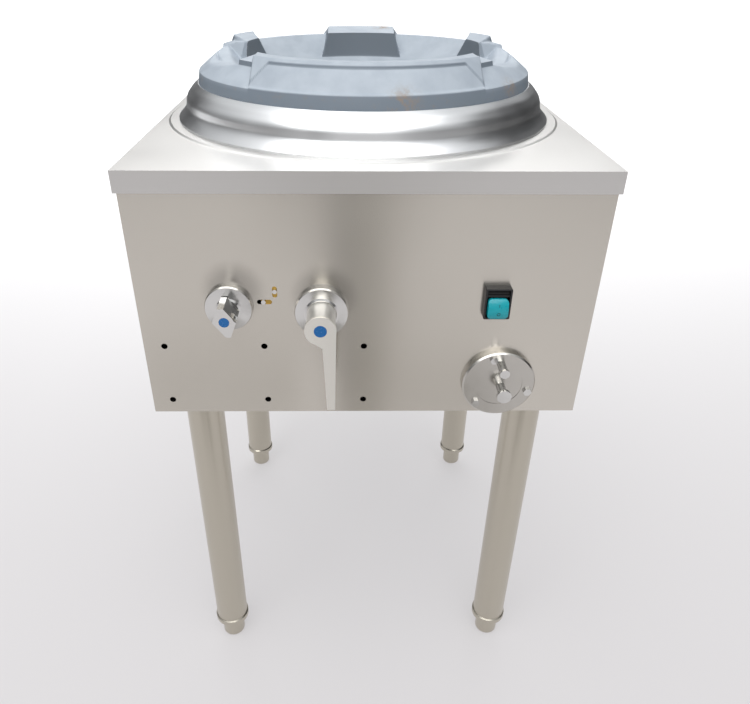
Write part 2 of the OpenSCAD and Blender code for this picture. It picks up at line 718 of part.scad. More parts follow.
// Burner head: drilled cap on a hollow column, which the main pipe feeds
column_r = 16;
burner_t = 4;
burner_low = air_box_top - burner_drop;
flame_rings = [[0.88, 36], [0.66, 24], [0.4, 12]];
module burner_head() color(DARK_IRON) translate([0, ring_y, 0]) difference() {
  rotate_extrude() polygon([
    [column_r, bar_top + drum_t], [column_r, burner_low], [burner_r, burner_low],
    [burner_r, burner_low + burner_h - burner_t / 2], [burner_r - burner_t / 2, burner_low + burner_h],
    [0, burner_low + burner_h], [0, burner_low + burner_h - burner_t],
    [burner_r - burner_t, burner_low + burner_h - burner_t], [burner_r - burner_t, burner_low + burner_t],
    [column_r - burner_t, burner_low + burner_t], [column_r - burner_t, bar_top + drum_t]]);
  for (ring = flame_rings, i = [1 : ring[1]]) rotate(i * 360 / ring[1])
    translate([burner_r * ring[0], 0, burner_low + burner_h - burner_t - cut])
      cylinder(r = flame_hole_r, h = burner_t + 2 * cut, $fn = 16);
  translate([0, -column_r - cut, main_pipe_z]) rotate([-90, 0, 0])
    cylinder(r = main_pipe_r + slip, h = column_r);
}

// Blower housing: scroll that grows towards its outlet, with an inlet, a foot and a joint flange
outlet_l = blower_y - duct_joint_y;
scroll_steps = 24;
function scroll_line(e) = [for (k = [0 : scroll_steps])
  let (a = 180 - 270 * k / scroll_steps, r = scroll_r + e + scroll_growth * k / scroll_steps)
  [r * cos(a), r * sin(a)]];
function scroll_outline(e, l) = concat(scroll_line(e), [[-l, -scroll_max - e],
  [-l, duct_low + duct_h + e], [-scroll_r - e, duct_low + duct_h + e]]);
inlet_r = wheel_r * 0.7;
shaft_hole_r = shaft_r * 1.5;
module blower_housing() color(STAINLESS) {
  along_x([0, blower_y, blower_z]) difference() {
    union() {
      translate([0, 0, -scroll_w / 2 - blower_t]) linear_extrude(scroll_w + 2 * blower_t)
        polygon(scroll_outline(blower_t, outlet_l));
      translate([0, 0, -scroll_w / 2 - 3 * blower_t]) cylinder(r = inlet_r + 2 * blower_t, h = 3 * blower_t);
    }
    translate([0, 0, -scroll_w / 2]) linear_extrude(scroll_w) polygon(scroll_outline(0, outlet_l + cut));
    translate([0, 0, -scroll_w]) cylinder(r = inlet_r, h = scroll_w);
    cylinder(r = shaft_hole_r, h = scroll_w);
  }
  translate([0, duct_joint_y, blower_z]) difference() {
    duct_section(duct_flange_w, blower_t);
    translate([0, -cut, 0]) duct_section(0, blower_t + 2 * cut);
  }
  translate([-bar_x - bar_w / 2, blower_y - bar_w / 2, bar_top])
    cube([2 * bar_x + bar_w, bar_w, blower_foot_t]);
}

// Blower wheel: hub, back plate, front ring and forward-curved blades
blade_count = 24;
blade_t = 1;
blade_low_share = 0.78;
blade_sweep = 14;
function blade_side(a) = [for (t = [0 : 0.25 : 1])
  let (r = wheel_r * (blade_low_share + (1 - blade_low_share) * t) - blade_t / 2)
  [r * cos(a + blade_sweep * t * t), r * sin(a + blade_sweep * t * t)]];
hub_r = shaft_r * 2.2;
plate_w = blade_t * 2;
blade_angle = blade_t / wheel_r * 180 / PI;
module blower_wheel() color(BLACK) along_x([0, blower_y, blower_z]) translate([0, 0, -wheel_w / 2]) {
  tube(wheel_r, wheel_r * blade_low_share, plate_w);
  for (i = [1 : blade_count]) rotate(i * 360 / blade_count) linear_extrude(wheel_w)
    polygon(concat(blade_side(0), reversed(blade_side(blade_angle))));
  translate([0, 0, wheel_w - plate_w]) tube(wheel_r, shaft_r + running, plate_w);
  translate([0, 0, wheel_w / 2]) tube(hub_r, shaft_r + running, wheel_w / 2);
}

// Blower shaft: from the wheel's hub into the motor
shaft_in_motor = motor_l / 2;
motor_x = scroll_w / 2 + blower_t;
module blower_shaft() color(CHROME) along_x([-wheel_w / 8, blower_y, blower_z])
  cylinder(r = shaft_r, h = wheel_w / 8 + motor_x + shaft_in_motor);

// Blower motor: finned can with a bored end that the shaft turns in
fin_count = 8;
fin_d = 3;
fin_pitch = motor_l * 0.8 / fin_count;
fin_start = motor_l * 0.1;
fin_line = [for (i = [0 : fin_count - 1]) let (z = fin_start + i * fin_pitch)
  each [[motor_r, z], [motor_r - fin_d, z], [motor_r - fin_d, z + fin_pitch / 2],
    [motor_r, z + fin_pitch / 2]]];
module blower_motor() color(BLACK) along_x([motor_x, blower_y, blower_z]) rotate_extrude()
  polygon(concat([[shaft_r + running, 0], [motor_r, 0]], fin_line,
    [[motor_r, motor_l - fin_d], [motor_r - fin_d, motor_l], [0, motor_l],
    [0, shaft_in_motor + fin_d], [shaft_r + running, shaft_in_motor + fin_d]]));

// Valve bodies: neck through the panel, bored for the stem, with a stub down to the outlet pipe
valve_end = 60;
outlet_d = 36;
stem_depth = 30;
stub_l = 8;
stub_wall = 3;
main_body_r = 20;
pilot_body_r = 17;
neck_l = plate_d * 0.8;
module valve_body(body_r, stub_r) color(BRASS) {
  rotate_extrude() polygon([[stem_r + running, neck_l], [neck_r, neck_l], [neck_r, -sheet],
    [body_r, -sheet], [body_r, -valve_end], [0, -valve_end], [0, -stem_depth - stem_r / 2],
    [stem_r + running, -stem_depth - stem_r / 2]]);
  translate([0, -2 * stem_r, -outlet_d]) rotate([90, 0, 0])
    cylinder(r = stub_r, h = body_r + stub_l - 2 * stem_r);
}
module main_valve_body() at_panel(-main_x, main_z) valve_body(main_body_r, main_pipe_r + stub_wall);
module pilot_valve_body() at_panel(-pilot_x, pilot_z) valve_body(pilot_body_r, pilot_tube_r + stub_wall);

// Fuel manifold: level pipe with a boss behind each valve and an elbow to the supply pipe
manifold_d = 75;
manifold_y = panel_y + manifold_d;
manifold_end = 20;
boss_r = 12;
union_l = 25;
nut_r = pipe_r * 1.5;
nipple_in = 24;
module fuel_manifold() color(BRASS) {
  pipe_run([[manifold_end - main_x, manifold_y, supply_z], [supply_x, manifold_y, supply_z],
    [supply_x, manifold_y + union_l, supply_z]], pipe_r);
  boss_l = manifold_d + boss_r - valve_end;
  at_panel(-main_x, main_z) translate([0, 0, -valve_end - boss_l]) cylinder(r = boss_r, h = boss_l);
  at_panel(-pilot_x, pilot_z) translate([0, 0, -valve_end - boss_l]) cylinder(r = boss_r, h = boss_l);
}

// Supply pipe: from the rear inlet to the manifold, with a union nut at each end
module supply_pipe() color(STAINLESS) to_rear([supply_x, manifold_y + union_l, supply_z]) {
  l = frame_rear - nipple_in - manifold_y - union_l;
  cylinder(r = pipe_r, h = l);
  cylinder(r = nut_r, h = union_l / 2);
  translate([0, 0, l - union_l / 2]) cylinder(r = nut_r, h = union_l / 2);
}

// Inlet nipple: bored pipe end with a collar against the back panel
nipple_l = 18;
collar_t = 6;
inlet_bore_r = 9;
module inlet_nipple() color(BRASS) to_rear([supply_x, frame_rear - nipple_in, supply_z]) difference() {
  union() {
    cylinder(r = nipple_r, h = nipple_in + sheet + collar_t + nipple_l);
    translate([0, 0, nipple_in + sheet]) cylinder(r = nipple_r + collar_t, h = collar_t);
  }
  translate([0, 0, nipple_in]) cylinder(r = inlet_bore_r, h = nipple_in + collar_t + nipple_l);
}

// Main fuel pipe: from the main valve down and back into the burner's column
outlet_y = panel_y + outlet_d;
module main_fuel_pipe() color(STAINLESS) pipe_run([
  [-main_x, outlet_y, worktop_h - main_z - main_body_r - stub_l], [-main_x, outlet_y, main_pipe_z],
  [0, outlet_y, main_pipe_z], [0, ring_y - column_r / 4, main_pipe_z]], main_pipe_r);

// Pilot tube: from the pilot valve to the edge of the burner head
pilot_path_r = (burner_r + lining_low_r) / 2;
pilot_in_angle = 37;
pilot_in = [-pilot_path_r * sin(pilot_in_angle), ring_y - pilot_path_r * cos(pilot_in_angle)];
module pilot_tube() color(BRASS) pipe_run([
  [-pilot_x, outlet_y, worktop_h - pilot_z - pilot_body_r - stub_l], [-pilot_x, outlet_y, pilot_tube_z],
  [pilot_in.x, pilot_in.y - air_box_r, pilot_tube_z], [pilot_in.x, pilot_in.y, pilot_tube_z],
  [pilot_in.x, pilot_in.y, burner_low + burner_h + pilot_tube_r]], pilot_tube_r);

// Igniter bracket: bent brass plate behind the slots, held by two screws that show in them
bracket_t = 2;
bracket_low = [-136, 179];
bracket_high = [-112, 146];
screw_r = 1.6;
screw_head_r = 3;
screw_head_t = 2.6;
screw_l = 8;
level_screw = [-133, level_slot.y];
upright_screw = [upright_slot.x, 155.5];
module igniter_bracket() color(BRASS) difference() {
  translate([bracket_low.x, frame_front, worktop_h - bracket_low.y]) {
    cube([bracket_high.x - bracket_low.x, bracket_t, bracket_low.y - bracket_high.y]);
    cube([bracket_high.x - bracket_low.x, return_d, bracket_t]);
  }
  for (p = [level_screw, upright_screw])
    at_panel(p.x, p.y) translate([0, 0, -screw_l]) cylinder(r = screw_r + running, h = screw_l);
}
module bracket_screws() color(CHROME) for (p = [level_screw, upright_screw])
  at_panel(p.x, p.y) translate([0, 0, -sheet]) {
    cylinder(r = screw_head_r, h = screw_head_t);
    translate([0, 0, -screw_l]) cylinder(r = screw_r, h = screw_l + screw_head_t / 2);
  }

// Escutcheons: dished round plates over the valve necks
plate_edge = 2.5;
module escutcheon(r, hub) color(CHROME) rotate_extrude() polygon([
  [neck_r + slip, 0], [r, 0], [r, plate_d - 2 * plate_edge], [r - plate_edge / 2, plate_d - plate_edge],
  [hub + plate_edge, plate_d - plate_edge / 2], [hub, plate_d], [neck_r + slip, plate_d]]);
module main_escutcheon() at_panel(-main_x, main_z) escutcheon(main_plate_r, lever_head_r);
module pilot_escutcheon() at_panel(-pilot_x, pilot_z) escutcheon(pilot_plate_r, neck_r + plate_edge);

// Main lever: barrel, round head and arm that tapers down from its right side
lever_gap = 0.6;
lever_face = lever_reach + cabinet_inset;
cap_t = 1.2;
main_cap_r = 8;
stem_in_lever = 24;
arm_shares = [[0.99, 0], [0.86, -1], [0.34, -1], [0.11, -0.21], [-0.74, -0.112]];
module main_lever() color(CHROME) at_panel(-main_x, main_z) difference() {
  union() {
    translate([0, 0, plate_d + lever_gap])
      cylinder(r = barrel_r, h = lever_face - plate_d - lever_gap - lever_t / 2);
    translate([0, 0, lever_face - lever_t]) cylinder(r = lever_head_r, h = lever_t);
    translate([0, 0, lever_face - lever_t]) linear_extrude(lever_t)
      polygon([for (p = arm_shares) [p.x * lever_head_r, p.y * lever_l]]);
  }
  translate([0, 0, lever_face - cap_t]) cylinder(r = main_cap_r + slip, h = cap_t + cut);
  translate([0, 0, plate_d - cut]) cylinder(r = stem_r + running, h = stem_in_lever + cut);
}
module main_stem() color(BRASS) at_panel(-main_x, main_z) translate([0, 0, -stem_depth])
  cylinder(r = stem_r, h = stem_depth + plate_d + stem_in_lever);
module main_cap() color(BLUE) at_panel(-main_x, main_z) translate([0, 0, lever_face - cap_t])
  cylinder(r = main_cap_r, h = cap_t);

// Pilot knob: lozenge grip with blunt points and a finger scoop at its right
knob_shares = [[-0.244, 0.465], [0.02, 0.465], [0.5, -0.012], [0.224, -0.537], [0.01, -0.52],
  [-0.5, -0.012]];
scoop_shares = [0.62, 0.15];
scoop_r = 10.5;
pilot_cap_r = 6.5;
stem_in_knob = 14;
module pilot_knob() color(CHROME) at_panel(-pilot_x, pilot_z) difference() {
  translate([0, 0, plate_d + lever_gap]) linear_extrude(pilot_knob_d - lever_gap)
    polygon([for (p = knob_shares) [p.x * pilot_knob_w, p.y * pilot_knob_l]]);
  translate([0, 0, plate_d + pilot_knob_d - cap_t]) cylinder(r = pilot_cap_r + slip, h = cap_t + cut);
  translate([0, 0, plate_d - cut]) cylinder(r = stem_r + running, h = stem_in_knob + cut);
  translate([scoop_shares.x * pilot_knob_w, scoop_shares.y * pilot_knob_l,
    plate_d + pilot_knob_d - scoop_r * 0.7]) sphere(scoop_r);
}
module pilot_stem() color(BRASS) at_panel(-pilot_x, pilot_z) translate([0, 0, -stem_depth])
  cylinder(r = stem_r, h = stem_depth + plate_d + stem_in_knob);
module pilot_cap() color(BLUE) at_panel(-pilot_x, pilot_z) translate([0, 0, plate_d + pilot_knob_d - cap_t])
  cylinder(r = pilot_cap_r, h = cap_t);

// Switch frame: deep square frame on the panel
frame_round = 2;
switch_in = [switch_w - 2 * switch_wall, switch_h - 2 * switch_wall];
module switch_frame() color(BLACK) at_panel(switch_x, switch_z) linear_extrude(switch_d) difference() {
  round_rect(switch_w, switch_h, frame_round);
  square(switch_in, center = true);
}

// Switch body: block through the panel, with two cheeks that hold the rocker's axle
switch_body_d = 32;
switch_face = 1.5;
axle_r = 1.8;
axle_l = 22;
axle_z = 4;
hub_w = 16;
cheek_w = 2.4;
cheek_x = 8.6;
rocker_w = 26;
rocker_h = 26.4;
rocker_low_z = 7.2;
rocker_front_z = 17.6;
rocker_gap = 0.4;
rocker_y = (rocker_h - switch_in.y) / 2 + rocker_gap;
module switch_body() color(BLACK) at_panel(switch_x, switch_z) difference() {
  union() {
    translate([slip - switch_in.x / 2, slip - switch_in.y / 2, -switch_body_d])
      cube([switch_in.x - 2 * slip, switch_in.y - 2 * slip, switch_body_d + switch_face]);
    for (side = [-1, 1])
      translate([side * (cheek_x + cheek_w / 2) - cheek_w / 2, rocker_y - axle_r - slip, 0])
        cube([cheek_w, 2 * (axle_r + slip), axle_z + axle_r + slip]);
  }
  translate([-switch_in.x / 2, rocker_y, axle_z]) rotate([0, 90, 0])
    cylinder(r = axle_r + running, h = switch_in.x);
}

// Bellows boot: thin plate around the rocker's hub with three falling steps above the rocker
boot_t = 0.8;
boot_steps = 3;
boot_gap = 1.9;
module switch_boot() color(BLACK) at_panel(switch_x, switch_z) {
  boot_low = rocker_y + rocker_h / 2 + boot_gap;
  step = (switch_in.y / 2 - slip - boot_low) / boot_steps;
  difference() {
    translate([slip - switch_in.x / 2, slip - switch_in.y / 2, switch_face])
      cube([switch_in.x - 2 * slip, switch_in.y - 2 * slip, boot_t]);
    translate([-axle_l / 2 - slip, rocker_y - 2 * axle_r - boot_gap, 0])
      cube([axle_l + 2 * slip, 2 * (2 * axle_r + boot_gap), switch_d]);
  }
  for (i = [0 : boot_steps - 1]) translate([slip - switch_in.x / 2, boot_low + i * step, switch_face])
    cube([switch_in.x - 2 * slip, step, (switch_d - 2 * switch_face) * (1 - i / (boot_steps + 2))]);
}

// Switch rocker: domed key with round corners on a narrow hub with its axle
rocker_round = 5;
rocker_dome_r = 26;
rocker_dome_y = -3;
module switch_rocker() color(TEAL) at_panel(switch_x, switch_z) translate([0, rocker_y, 0]) {
  intersection() {
    translate([0, 0, rocker_low_z]) linear_extrude(rocker_front_z - rocker_low_z)
      round_rect(rocker_w, rocker_h, rocker_round);
    translate([-rocker_w / 2, rocker_dome_y, rocker_front_z - rocker_dome_r]) rotate([0, 90, 0])
      cylinder(r = rocker_dome_r, h = rocker_w);
  }
  translate([-hub_w / 2, -axle_r, axle_z - axle_r / 2])
    cube([hub_w, 2 * axle_r, rocker_low_z - axle_z + axle_r]);
  translate([-axle_l / 2, 0, axle_z]) rotate([0, 90, 0]) cylinder(r = axle_r, h = axle_l);
}

// Air port: cover with a shallow centre, a bearing for the damper spindle, a stop pin and a lug
bolt_angles = [105, 225, 345];
bolt_ring_r = 41.5;
bolt_r = 3;
bolt_flats = 10;
bolt_head_t = 4;
bolt_nut_t = 5;
cover_round = 2;
recess_r = 32;
recess_d = 0.6;
damper_at = [3.1, -3.8];
post_at = [-0.3, 32.4];
stop_at = [-5.9, 4];
stop_r = 1.2;
stop_l = 7;
stop_lug = [4, 3, 4];
stop_lug_at = [1, -18];
module port_cover() color(STAINLESS) at_panel(port_x, port_z) difference() {
  union() {
    rotate_extrude() polygon([[0, 0], [port_r, 0], [port_r, port_d - cover_round],
      [port_r - cover_round, port_d], [recess_r, port_d], [recess_r, port_d - recess_d],
      [0, port_d - recess_d]]);
    translate([stop_at.x, stop_at.y, port_d - recess_d]) cylinder(r = stop_r, h = stop_l);
    translate([stop_lug_at.x, stop_lug_at.y, port_d - 2 * recess_d]) cube(stop_lug);
  }
  translate([damper_at.x, damper_at.y, -cut]) cylinder(r = damper_r + running, h = port_d + 2 * cut);
  for (a = bolt_angles) translate([bolt_ring_r * cos(a), bolt_ring_r * sin(a), -cut])
    cylinder(r = bolt_r + slip, h = port_d + 2 * cut);
}
module port_bolts() color(CHROME) at_panel(port_x, port_z) for (a = bolt_angles)
  translate([bolt_ring_r * cos(a), bolt_ring_r * sin(a), 0]) {
    translate([0, 0, port_d]) hex_nut(bolt_flats, bolt_head_t);
    translate([0, 0, -sheet - bolt_nut_t - bolt_r])
      cylinder(r = bolt_r, h = port_d + sheet + bolt_nut_t + bolt_r);
    translate([0, 0, -sheet - bolt_nut_t]) hex_nut(bolt_flats, bolt_nut_t);
  }

// Upper post: fixed stud with a collar at its end and a set screw
post_r = 5.75;
post_end_r = 6.5;
post_end_l = 5;
set_screw_r = 1.5;
module port_post() color(CHROME) at_panel(port_x, port_z) translate([post_at.x, post_at.y, port_d]) {
  cylinder(r = post_r, h = post_l);
  translate([0, 0, post_l - post_end_l]) cylinder(r = post_end_r, h = post_end_l);
  translate([0, 0, post_l - 1.5 * post_end_l]) rotate([0, 90, 0])
    cylinder(r = set_screw_r, h = post_end_r + set_screw_r / 2);
}

// Damper spindle: shaft through the cover with a cap at its front
damper_depth = 45;
damper_body_r = 34;
damper_wall = 3;
damper_cap_t = 5;
module damper_spindle() color(CHROME) at_panel(port_x, port_z) translate([damper_at.x, damper_at.y, 0]) {
  translate([0, 0, -damper_depth]) cylinder(r = damper_r, h = damper_depth + port_d + post_l);
  translate([0, 0, port_d + post_l - damper_cap_t]) cylinder(r = damper_cap_r, h = damper_cap_t);
  translate([0, 0, port_d + post_l - 1.5 * damper_cap_t]) rotate([0, 90, 0])
    cylinder(r = set_screw_r, h = damper_r + 2 * set_screw_r);
}

// Damper cam: D-shaped plate on the spindle inside the damper body
cam_r = 22;
cam_t = 4;
cam_z = -26;
module damper_cam() color(BRASS) at_panel(port_x, port_z) translate([damper_at.x, damper_at.y, cam_z])
  linear_extrude(cam_t) difference() {
    circle(cam_r);
    circle(damper_r + running);
    translate([-cam_r, damper_r * 1.6]) square([2 * cam_r, cam_r]);
  }

// Damper body: cup behind the cover with the spindle's rear bearing
module damper_body() color(DARK_IRON) at_panel(port_x, port_z) difference() {
  translate([0, 0, -damper_depth]) cylinder(r = damper_body_r, h = damper_depth);
  translate([0, 0, damper_wall - damper_depth]) cylinder(r = damper_body_r - damper_wall, h = damper_depth);
  translate([damper_at.x, damper_at.y, -damper_depth - cut])
    cylinder(r = damper_r + running, h = damper_wall + 2 * cut);
}

// Cable gland: body through the back panel, with a nut inside and a domed cap outside
gland_bore_r = 4;
gland_flats = 20;
gland_nut_t = 5;
gland_cap_r = 9;
gland_cap_l = 14;
module cable_gland() color(BLACK) to_rear([gland_at.x, frame_rear, gland_at.y]) difference() {
  union() {
    translate([0, 0, -gland_nut_t]) hex_nut(gland_flats, gland_nut_t);
    translate([0, 0, -gland_nut_t]) cylinder(r = gland_r, h = 2 * gland_nut_t + sheet);
    translate([0, 0, sheet]) hex_nut(gland_flats, gland_nut_t);
    translate([0, 0, sheet + gland_nut_t]) cylinder(r = gland_cap_r, h = gland_cap_l);
  }
  translate([0, 0, -gland_nut_t - cut])
    cylinder(r = gland_bore_r, h = 2 * gland_nut_t + sheet + gland_cap_l + 2 * cut);
}

worktop();
bell_collar();
wok_ring();
front_panel();
side_panel_left();
side_panel_right();
back_panel();
base_frame();
leg_sockets();
leg_front_left();
leg_front_right();
leg_rear_left();
leg_rear_right();
leg_collars();
foot_front_left();
foot_front_right();
foot_rear_left();
foot_rear_right();
combustion_drum();
refractory_lining();
burner_head();
air_box();
air_duct();
blower_housing();
blower_wheel();
blower_shaft();
blower_motor();
main_valve_body();
pilot_valve_body();
fuel_manifold();
supply_pipe();
inlet_nipple();
main_fuel_pipe();
pilot_tube();
igniter_bracket();
bracket_screws();
main_escutcheon();
pilot_escutcheon();
main_lever();
main_stem();
main_cap();
pilot_knob();
pilot_stem();
pilot_cap();
switch_frame();
switch_body();
switch_boot();
switch_rocker();
port_cover();
port_bolts();
port_post();
damper_spindle();
damper_cam();
damper_body();
cable_gland();
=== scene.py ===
import math

import bpy
from mathutils import Matrix, Vector


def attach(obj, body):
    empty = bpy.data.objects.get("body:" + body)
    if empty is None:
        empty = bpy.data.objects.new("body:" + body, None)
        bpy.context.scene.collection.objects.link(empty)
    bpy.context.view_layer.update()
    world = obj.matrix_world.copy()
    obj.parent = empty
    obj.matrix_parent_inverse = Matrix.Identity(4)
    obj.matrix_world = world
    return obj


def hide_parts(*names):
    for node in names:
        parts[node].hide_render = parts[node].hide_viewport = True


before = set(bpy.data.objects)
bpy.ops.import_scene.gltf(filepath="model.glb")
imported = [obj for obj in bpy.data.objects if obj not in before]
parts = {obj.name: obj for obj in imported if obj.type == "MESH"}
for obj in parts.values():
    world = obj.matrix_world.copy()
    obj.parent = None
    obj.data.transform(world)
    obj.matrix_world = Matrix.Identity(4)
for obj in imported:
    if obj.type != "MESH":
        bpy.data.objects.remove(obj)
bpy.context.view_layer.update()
MM = 0.001

# Camera: stands in front of the range a little left of its middle, above the ring and tipped down,
# as the photographer stood. The lens is shifted sideways as the photograph is cropped.
camera_at = Vector((-28.57, -1062.27, 1101.16)) * MM
camera_pitch = math.radians(31.158)
camera_yaw = math.radians(-0.927)
camera_roll = math.radians(0.402)
focal_px = 670.48
image_w = 750
middle_px = 354.07
sensor_mm = 36.0
ahead = Vector((-math.sin(camera_yaw) * math.cos(camera_pitch),
                math.cos(camera_yaw) * math.cos(camera_pitch), -math.sin(camera_pitch)))
level = Vector((math.cos(camera_yaw), math.sin(camera_yaw), 0.0))
upward = level.cross(ahead)
to_right = level * math.cos(camera_roll) + upward * math.sin(camera_roll)
upward = upward * math.cos(camera_roll) - level * math.sin(camera_roll)
lens = bpy.data.cameras.new("photo_lens")
lens.sensor_width = sensor_mm
lens.lens = focal_px * sensor_mm / image_w
lens.shift_x = (image_w / 2 - middle_px) / image_w
camera = bpy.data.objects.new("photo_camera", lens)
camera.matrix_world = Matrix.Translation(camera_at) @ Matrix(
    (to_right, upward, -ahead)).transposed().to_4x4()
bpy.context.scene.collection.objects.link(camera)
bpy.context.scene.camera = camera
bpy.context.scene.view_settings.view_transform = "Standard"

# Studio floor: a seamless sheet of matt, slightly cool paper that runs far back. Its colour and its
# glow grow white in the distance. It glows as painted light, so shadows on it stay faint.
floor_size = 60.0
floor_near = "#CBC9CA"
floor_far = "#FFFFFF"
floor_matt = "#8B898A"
painted_floor_glow = 0.7
fade_from = -0.6
fade_to = 5.0


def linear(hex_colour):
    """Linear red, green, blue and full alpha of an sRGB hex colour."""
    shares = [int(hex_colour[i:i + 2], 16) / 255 for i in (1, 3, 5)]
    return tuple(s / 12.92 if s <= 0.04045 else ((s + 0.055) / 1.055) ** 2.4
                 for s in shares) + (1.0,)


def add(tree, kind, settings=None, **inputs):
    """Adds a node with its settings; an input (by name, or i and its number) is a value or the
    socket that feeds it."""
    made = tree.nodes.new(kind)
    for name, value in (settings or {}).items():
        setattr(made, name, value)
    for name, value in inputs.items():
        numbered = name[0] == "i" and name[1:].isdigit()
        socket = made.inputs[int(name[1:]) if numbered else name.replace("_", " ")]
        if isinstance(value, bpy.types.NodeSocket):
            tree.links.new(value, socket)
        else:
            socket.default_value = value
    return made


def new_material(name, hex_colour, metallic, roughness):
    """A material with its shader: returns the material, its tree and the shader."""
    material = bpy.data.materials.new(name)
    material.use_nodes = True
    shader = material.node_tree.nodes["Principled BSDF"]
    shader.inputs["Base Color"].default_value = linear(hex_colour)
    shader.inputs["Metallic"].default_value = metallic
    shader.inputs["Roughness"].default_value = roughness
    return material, material.node_tree, shader


def new_piece(name, verts, faces, material, smooth_angle=None):
    """A mesh object from points in metres."""
    mesh = bpy.data.meshes.new(name)
    mesh.from_pydata([tuple(v) for v in verts], [], faces)
    mesh.validate()
    mesh.materials.append(material)
    piece = bpy.data.objects.new(name, mesh)
    bpy.context.scene.collection.objects.link(piece)
    if smooth_angle is not None:
        mesh.shade_smooth()
        mesh.set_sharp_from_angle(angle=math.radians(smooth_angle))
    return piece


paper, tree, shader = new_material("seamless_paper", floor_near, 0.0, 0.9)
place = add(tree, "ShaderNodeTexCoord")
axes = add(tree, "ShaderNodeSeparateXYZ", Vector=place.outputs["Object"])
share = add(tree, "ShaderNodeMapRange", {"interpolation_type": "SMOOTHSTEP"},
            Value=axes.outputs["Y"], From_Min=fade_from, From_Max=fade_to)
tint = add(tree, "ShaderNodeMix", {"data_type": "RGBA"}, Factor=share.outputs["Result"],
           i6=linear(floor_near), i7=linear(floor_far))
matt = add(tree, "ShaderNodeMix", {"data_type": "RGBA"}, Factor=share.outputs["Result"],
           i6=linear(floor_matt), i7=linear(floor_far))
# Painted light: the paper glows with its own tint, grey near and white far off, which lifts the
# shadows on it.
tree.links.new(matt.outputs[2], shader.inputs["Base Color"])
tree.links.new(tint.outputs[2], shader.inputs["Emission Color"])
shader.inputs["Emission Strength"].default_value = painted_floor_glow
half = floor_size / 2
floor = new_piece("paper_floor", [(-half, -half, 0), (half, -half, 0), (half, half, 0),
                                  (-half, half, 0)], [(0, 1, 2, 3)], paper)

# Studio light: a white tent all round, a large soft box above, one behind and a faint one in front.
# Black felt flags at the sides and felt strips on the floor in front give the polished steel its
# dark reflections.
tent_low = "#4C4C4C"
tent_high = "#F2F4F6"
tent_strength = 0.8
tent_white_from = 0.7
world = bpy.data.worlds.new("light_tent")
bpy.context.scene.world = world
world.use_nodes = True
tree = world.node_tree
place = add(tree, "ShaderNodeTexCoord")
axes = add(tree, "ShaderNodeSeparateXYZ", Vector=place.outputs["Generated"])
share = add(tree, "ShaderNodeMapRange", Value=axes.outputs["Z"], From_Max=tent_white_from)
tint = add(tree, "ShaderNodeMix", {"data_type": "RGBA"}, Factor=share.outputs["Result"],
           i6=linear(tent_low), i7=linear(tent_high))
background = tree.nodes["Background"]
tree.links.new(tint.outputs[2], background.inputs["Color"])
background.inputs["Strength"].default_value = tent_strength


def soft_box(name, at, aim, width, height, watts):
    """A large rectangular soft light at a point, aimed at another."""
    light = bpy.data.lights.new(name, "AREA")
    light.shape = "RECTANGLE"
    light.size, light.size_y = width, height
    light.energy = watts
    lamp = bpy.data.objects.new(name, light)
    lamp.location = at
    lamp.rotation_mode = "QUATERNION"
    lamp.rotation_quaternion = (Vector(aim) - Vector(at)).to_track_quat("-Z", "Y")
    bpy.context.scene.collection.objects.link(lamp)


soft_box("top_soft_box", (-0.3, -1.5, 3.2), (0, -0.4, 0.8), 3.4, 3.4, 92)
soft_box("rear_soft_box", (0.0, 3.0, 3.4), (0, 0, 0.8), 4.0, 2.0, 48)
soft_box("front_soft_box", (0.0, -3.2, 1.5), (0, 0, 0.8), 2.6, 1.0, 4)

felt_roughness = 0.95
black_felt, tree, shader = new_material("black_felt", "#1E1E1F", 0.0, felt_roughness)
grey_felt, tree, shader = new_material("grey_felt", "#8C8984", 0.0, felt_roughness)


def card(name, corners, material):
    """A felt card in metres that only reflections see."""
    piece = new_piece(name, corners, [(0, 1, 2, 3)], material)
    piece.visible_camera = False
    piece.visible_shadow = False
    piece.visible_diffuse = False


def flag(name, middle, width, height):
    """An upright black card that faces the range."""
    away = Vector((middle[0], middle[1], 0)).normalized()
    side = Vector((-away.y, away.x, 0)) * width / 2
    rise = Vector((0, 0, height / 2))
    m = Vector(middle)
    card(name, [m - side - rise, m + side - rise, m + side + rise, m - side + rise], black_felt)


flag("right_flag", (2.2, 0.35, 1.7), 2.6, 2.4)
flag("rear_right_flag", (1.9, 1.9, 0.95), 2.6, 1.4)
flag("rear_left_flag", (-1.5, 1.9, 1.15), 1.6, 1.7)

# Each strip: its felt, its height over the paper in millimetres and its corners in metres.
strips = [
    ("wide_floor_felt", grey_felt, 2,
     [(-0.035, -0.8), (0.06, -0.8), (0.216, -2.9), (-0.12, -2.9)]),
    ("near_left_floor_felt", grey_felt, 3,
     [(-0.6, -1.0), (-0.15, -1.0), (-0.17, -1.25), (-0.65, -1.25)]),
    ("near_right_floor_felt", grey_felt, 3,
     [(0.07, -1.0), (0.38, -1.0), (0.4, -1.25), (0.08, -1.25)]),
    ("far_floor_felt", grey_felt, 2,
     [(-0.5, -2.9), (0.42, -2.9), (0.5, -4.4), (-0.6, -4.4)]),
    ("narrow_floor_felt", black_felt, 4,
     [(-0.05, -1.2), (0.0, -1.2), (0.0, -3.2), (-0.12, -3.2)])]
for name, felt, lift_mm, corners in strips:
    card(name, [(x, y, lift_mm * MM) for x, y in corners], felt)

# Cabinet: folded sheets of satin 430 stainless steel, 1.2 mm thick, spot-welded at the returns.
# The belt-ground grain runs level, so that reflections smear up and down.
sheet_colour = "#D5D0C7"
sheet_roughness = 0.25
grain_mm = 0.9
grain_run_mm = 90.0
grain_dark = 0.97
cloud_mm = 160.0
cloud_wear = 0.035


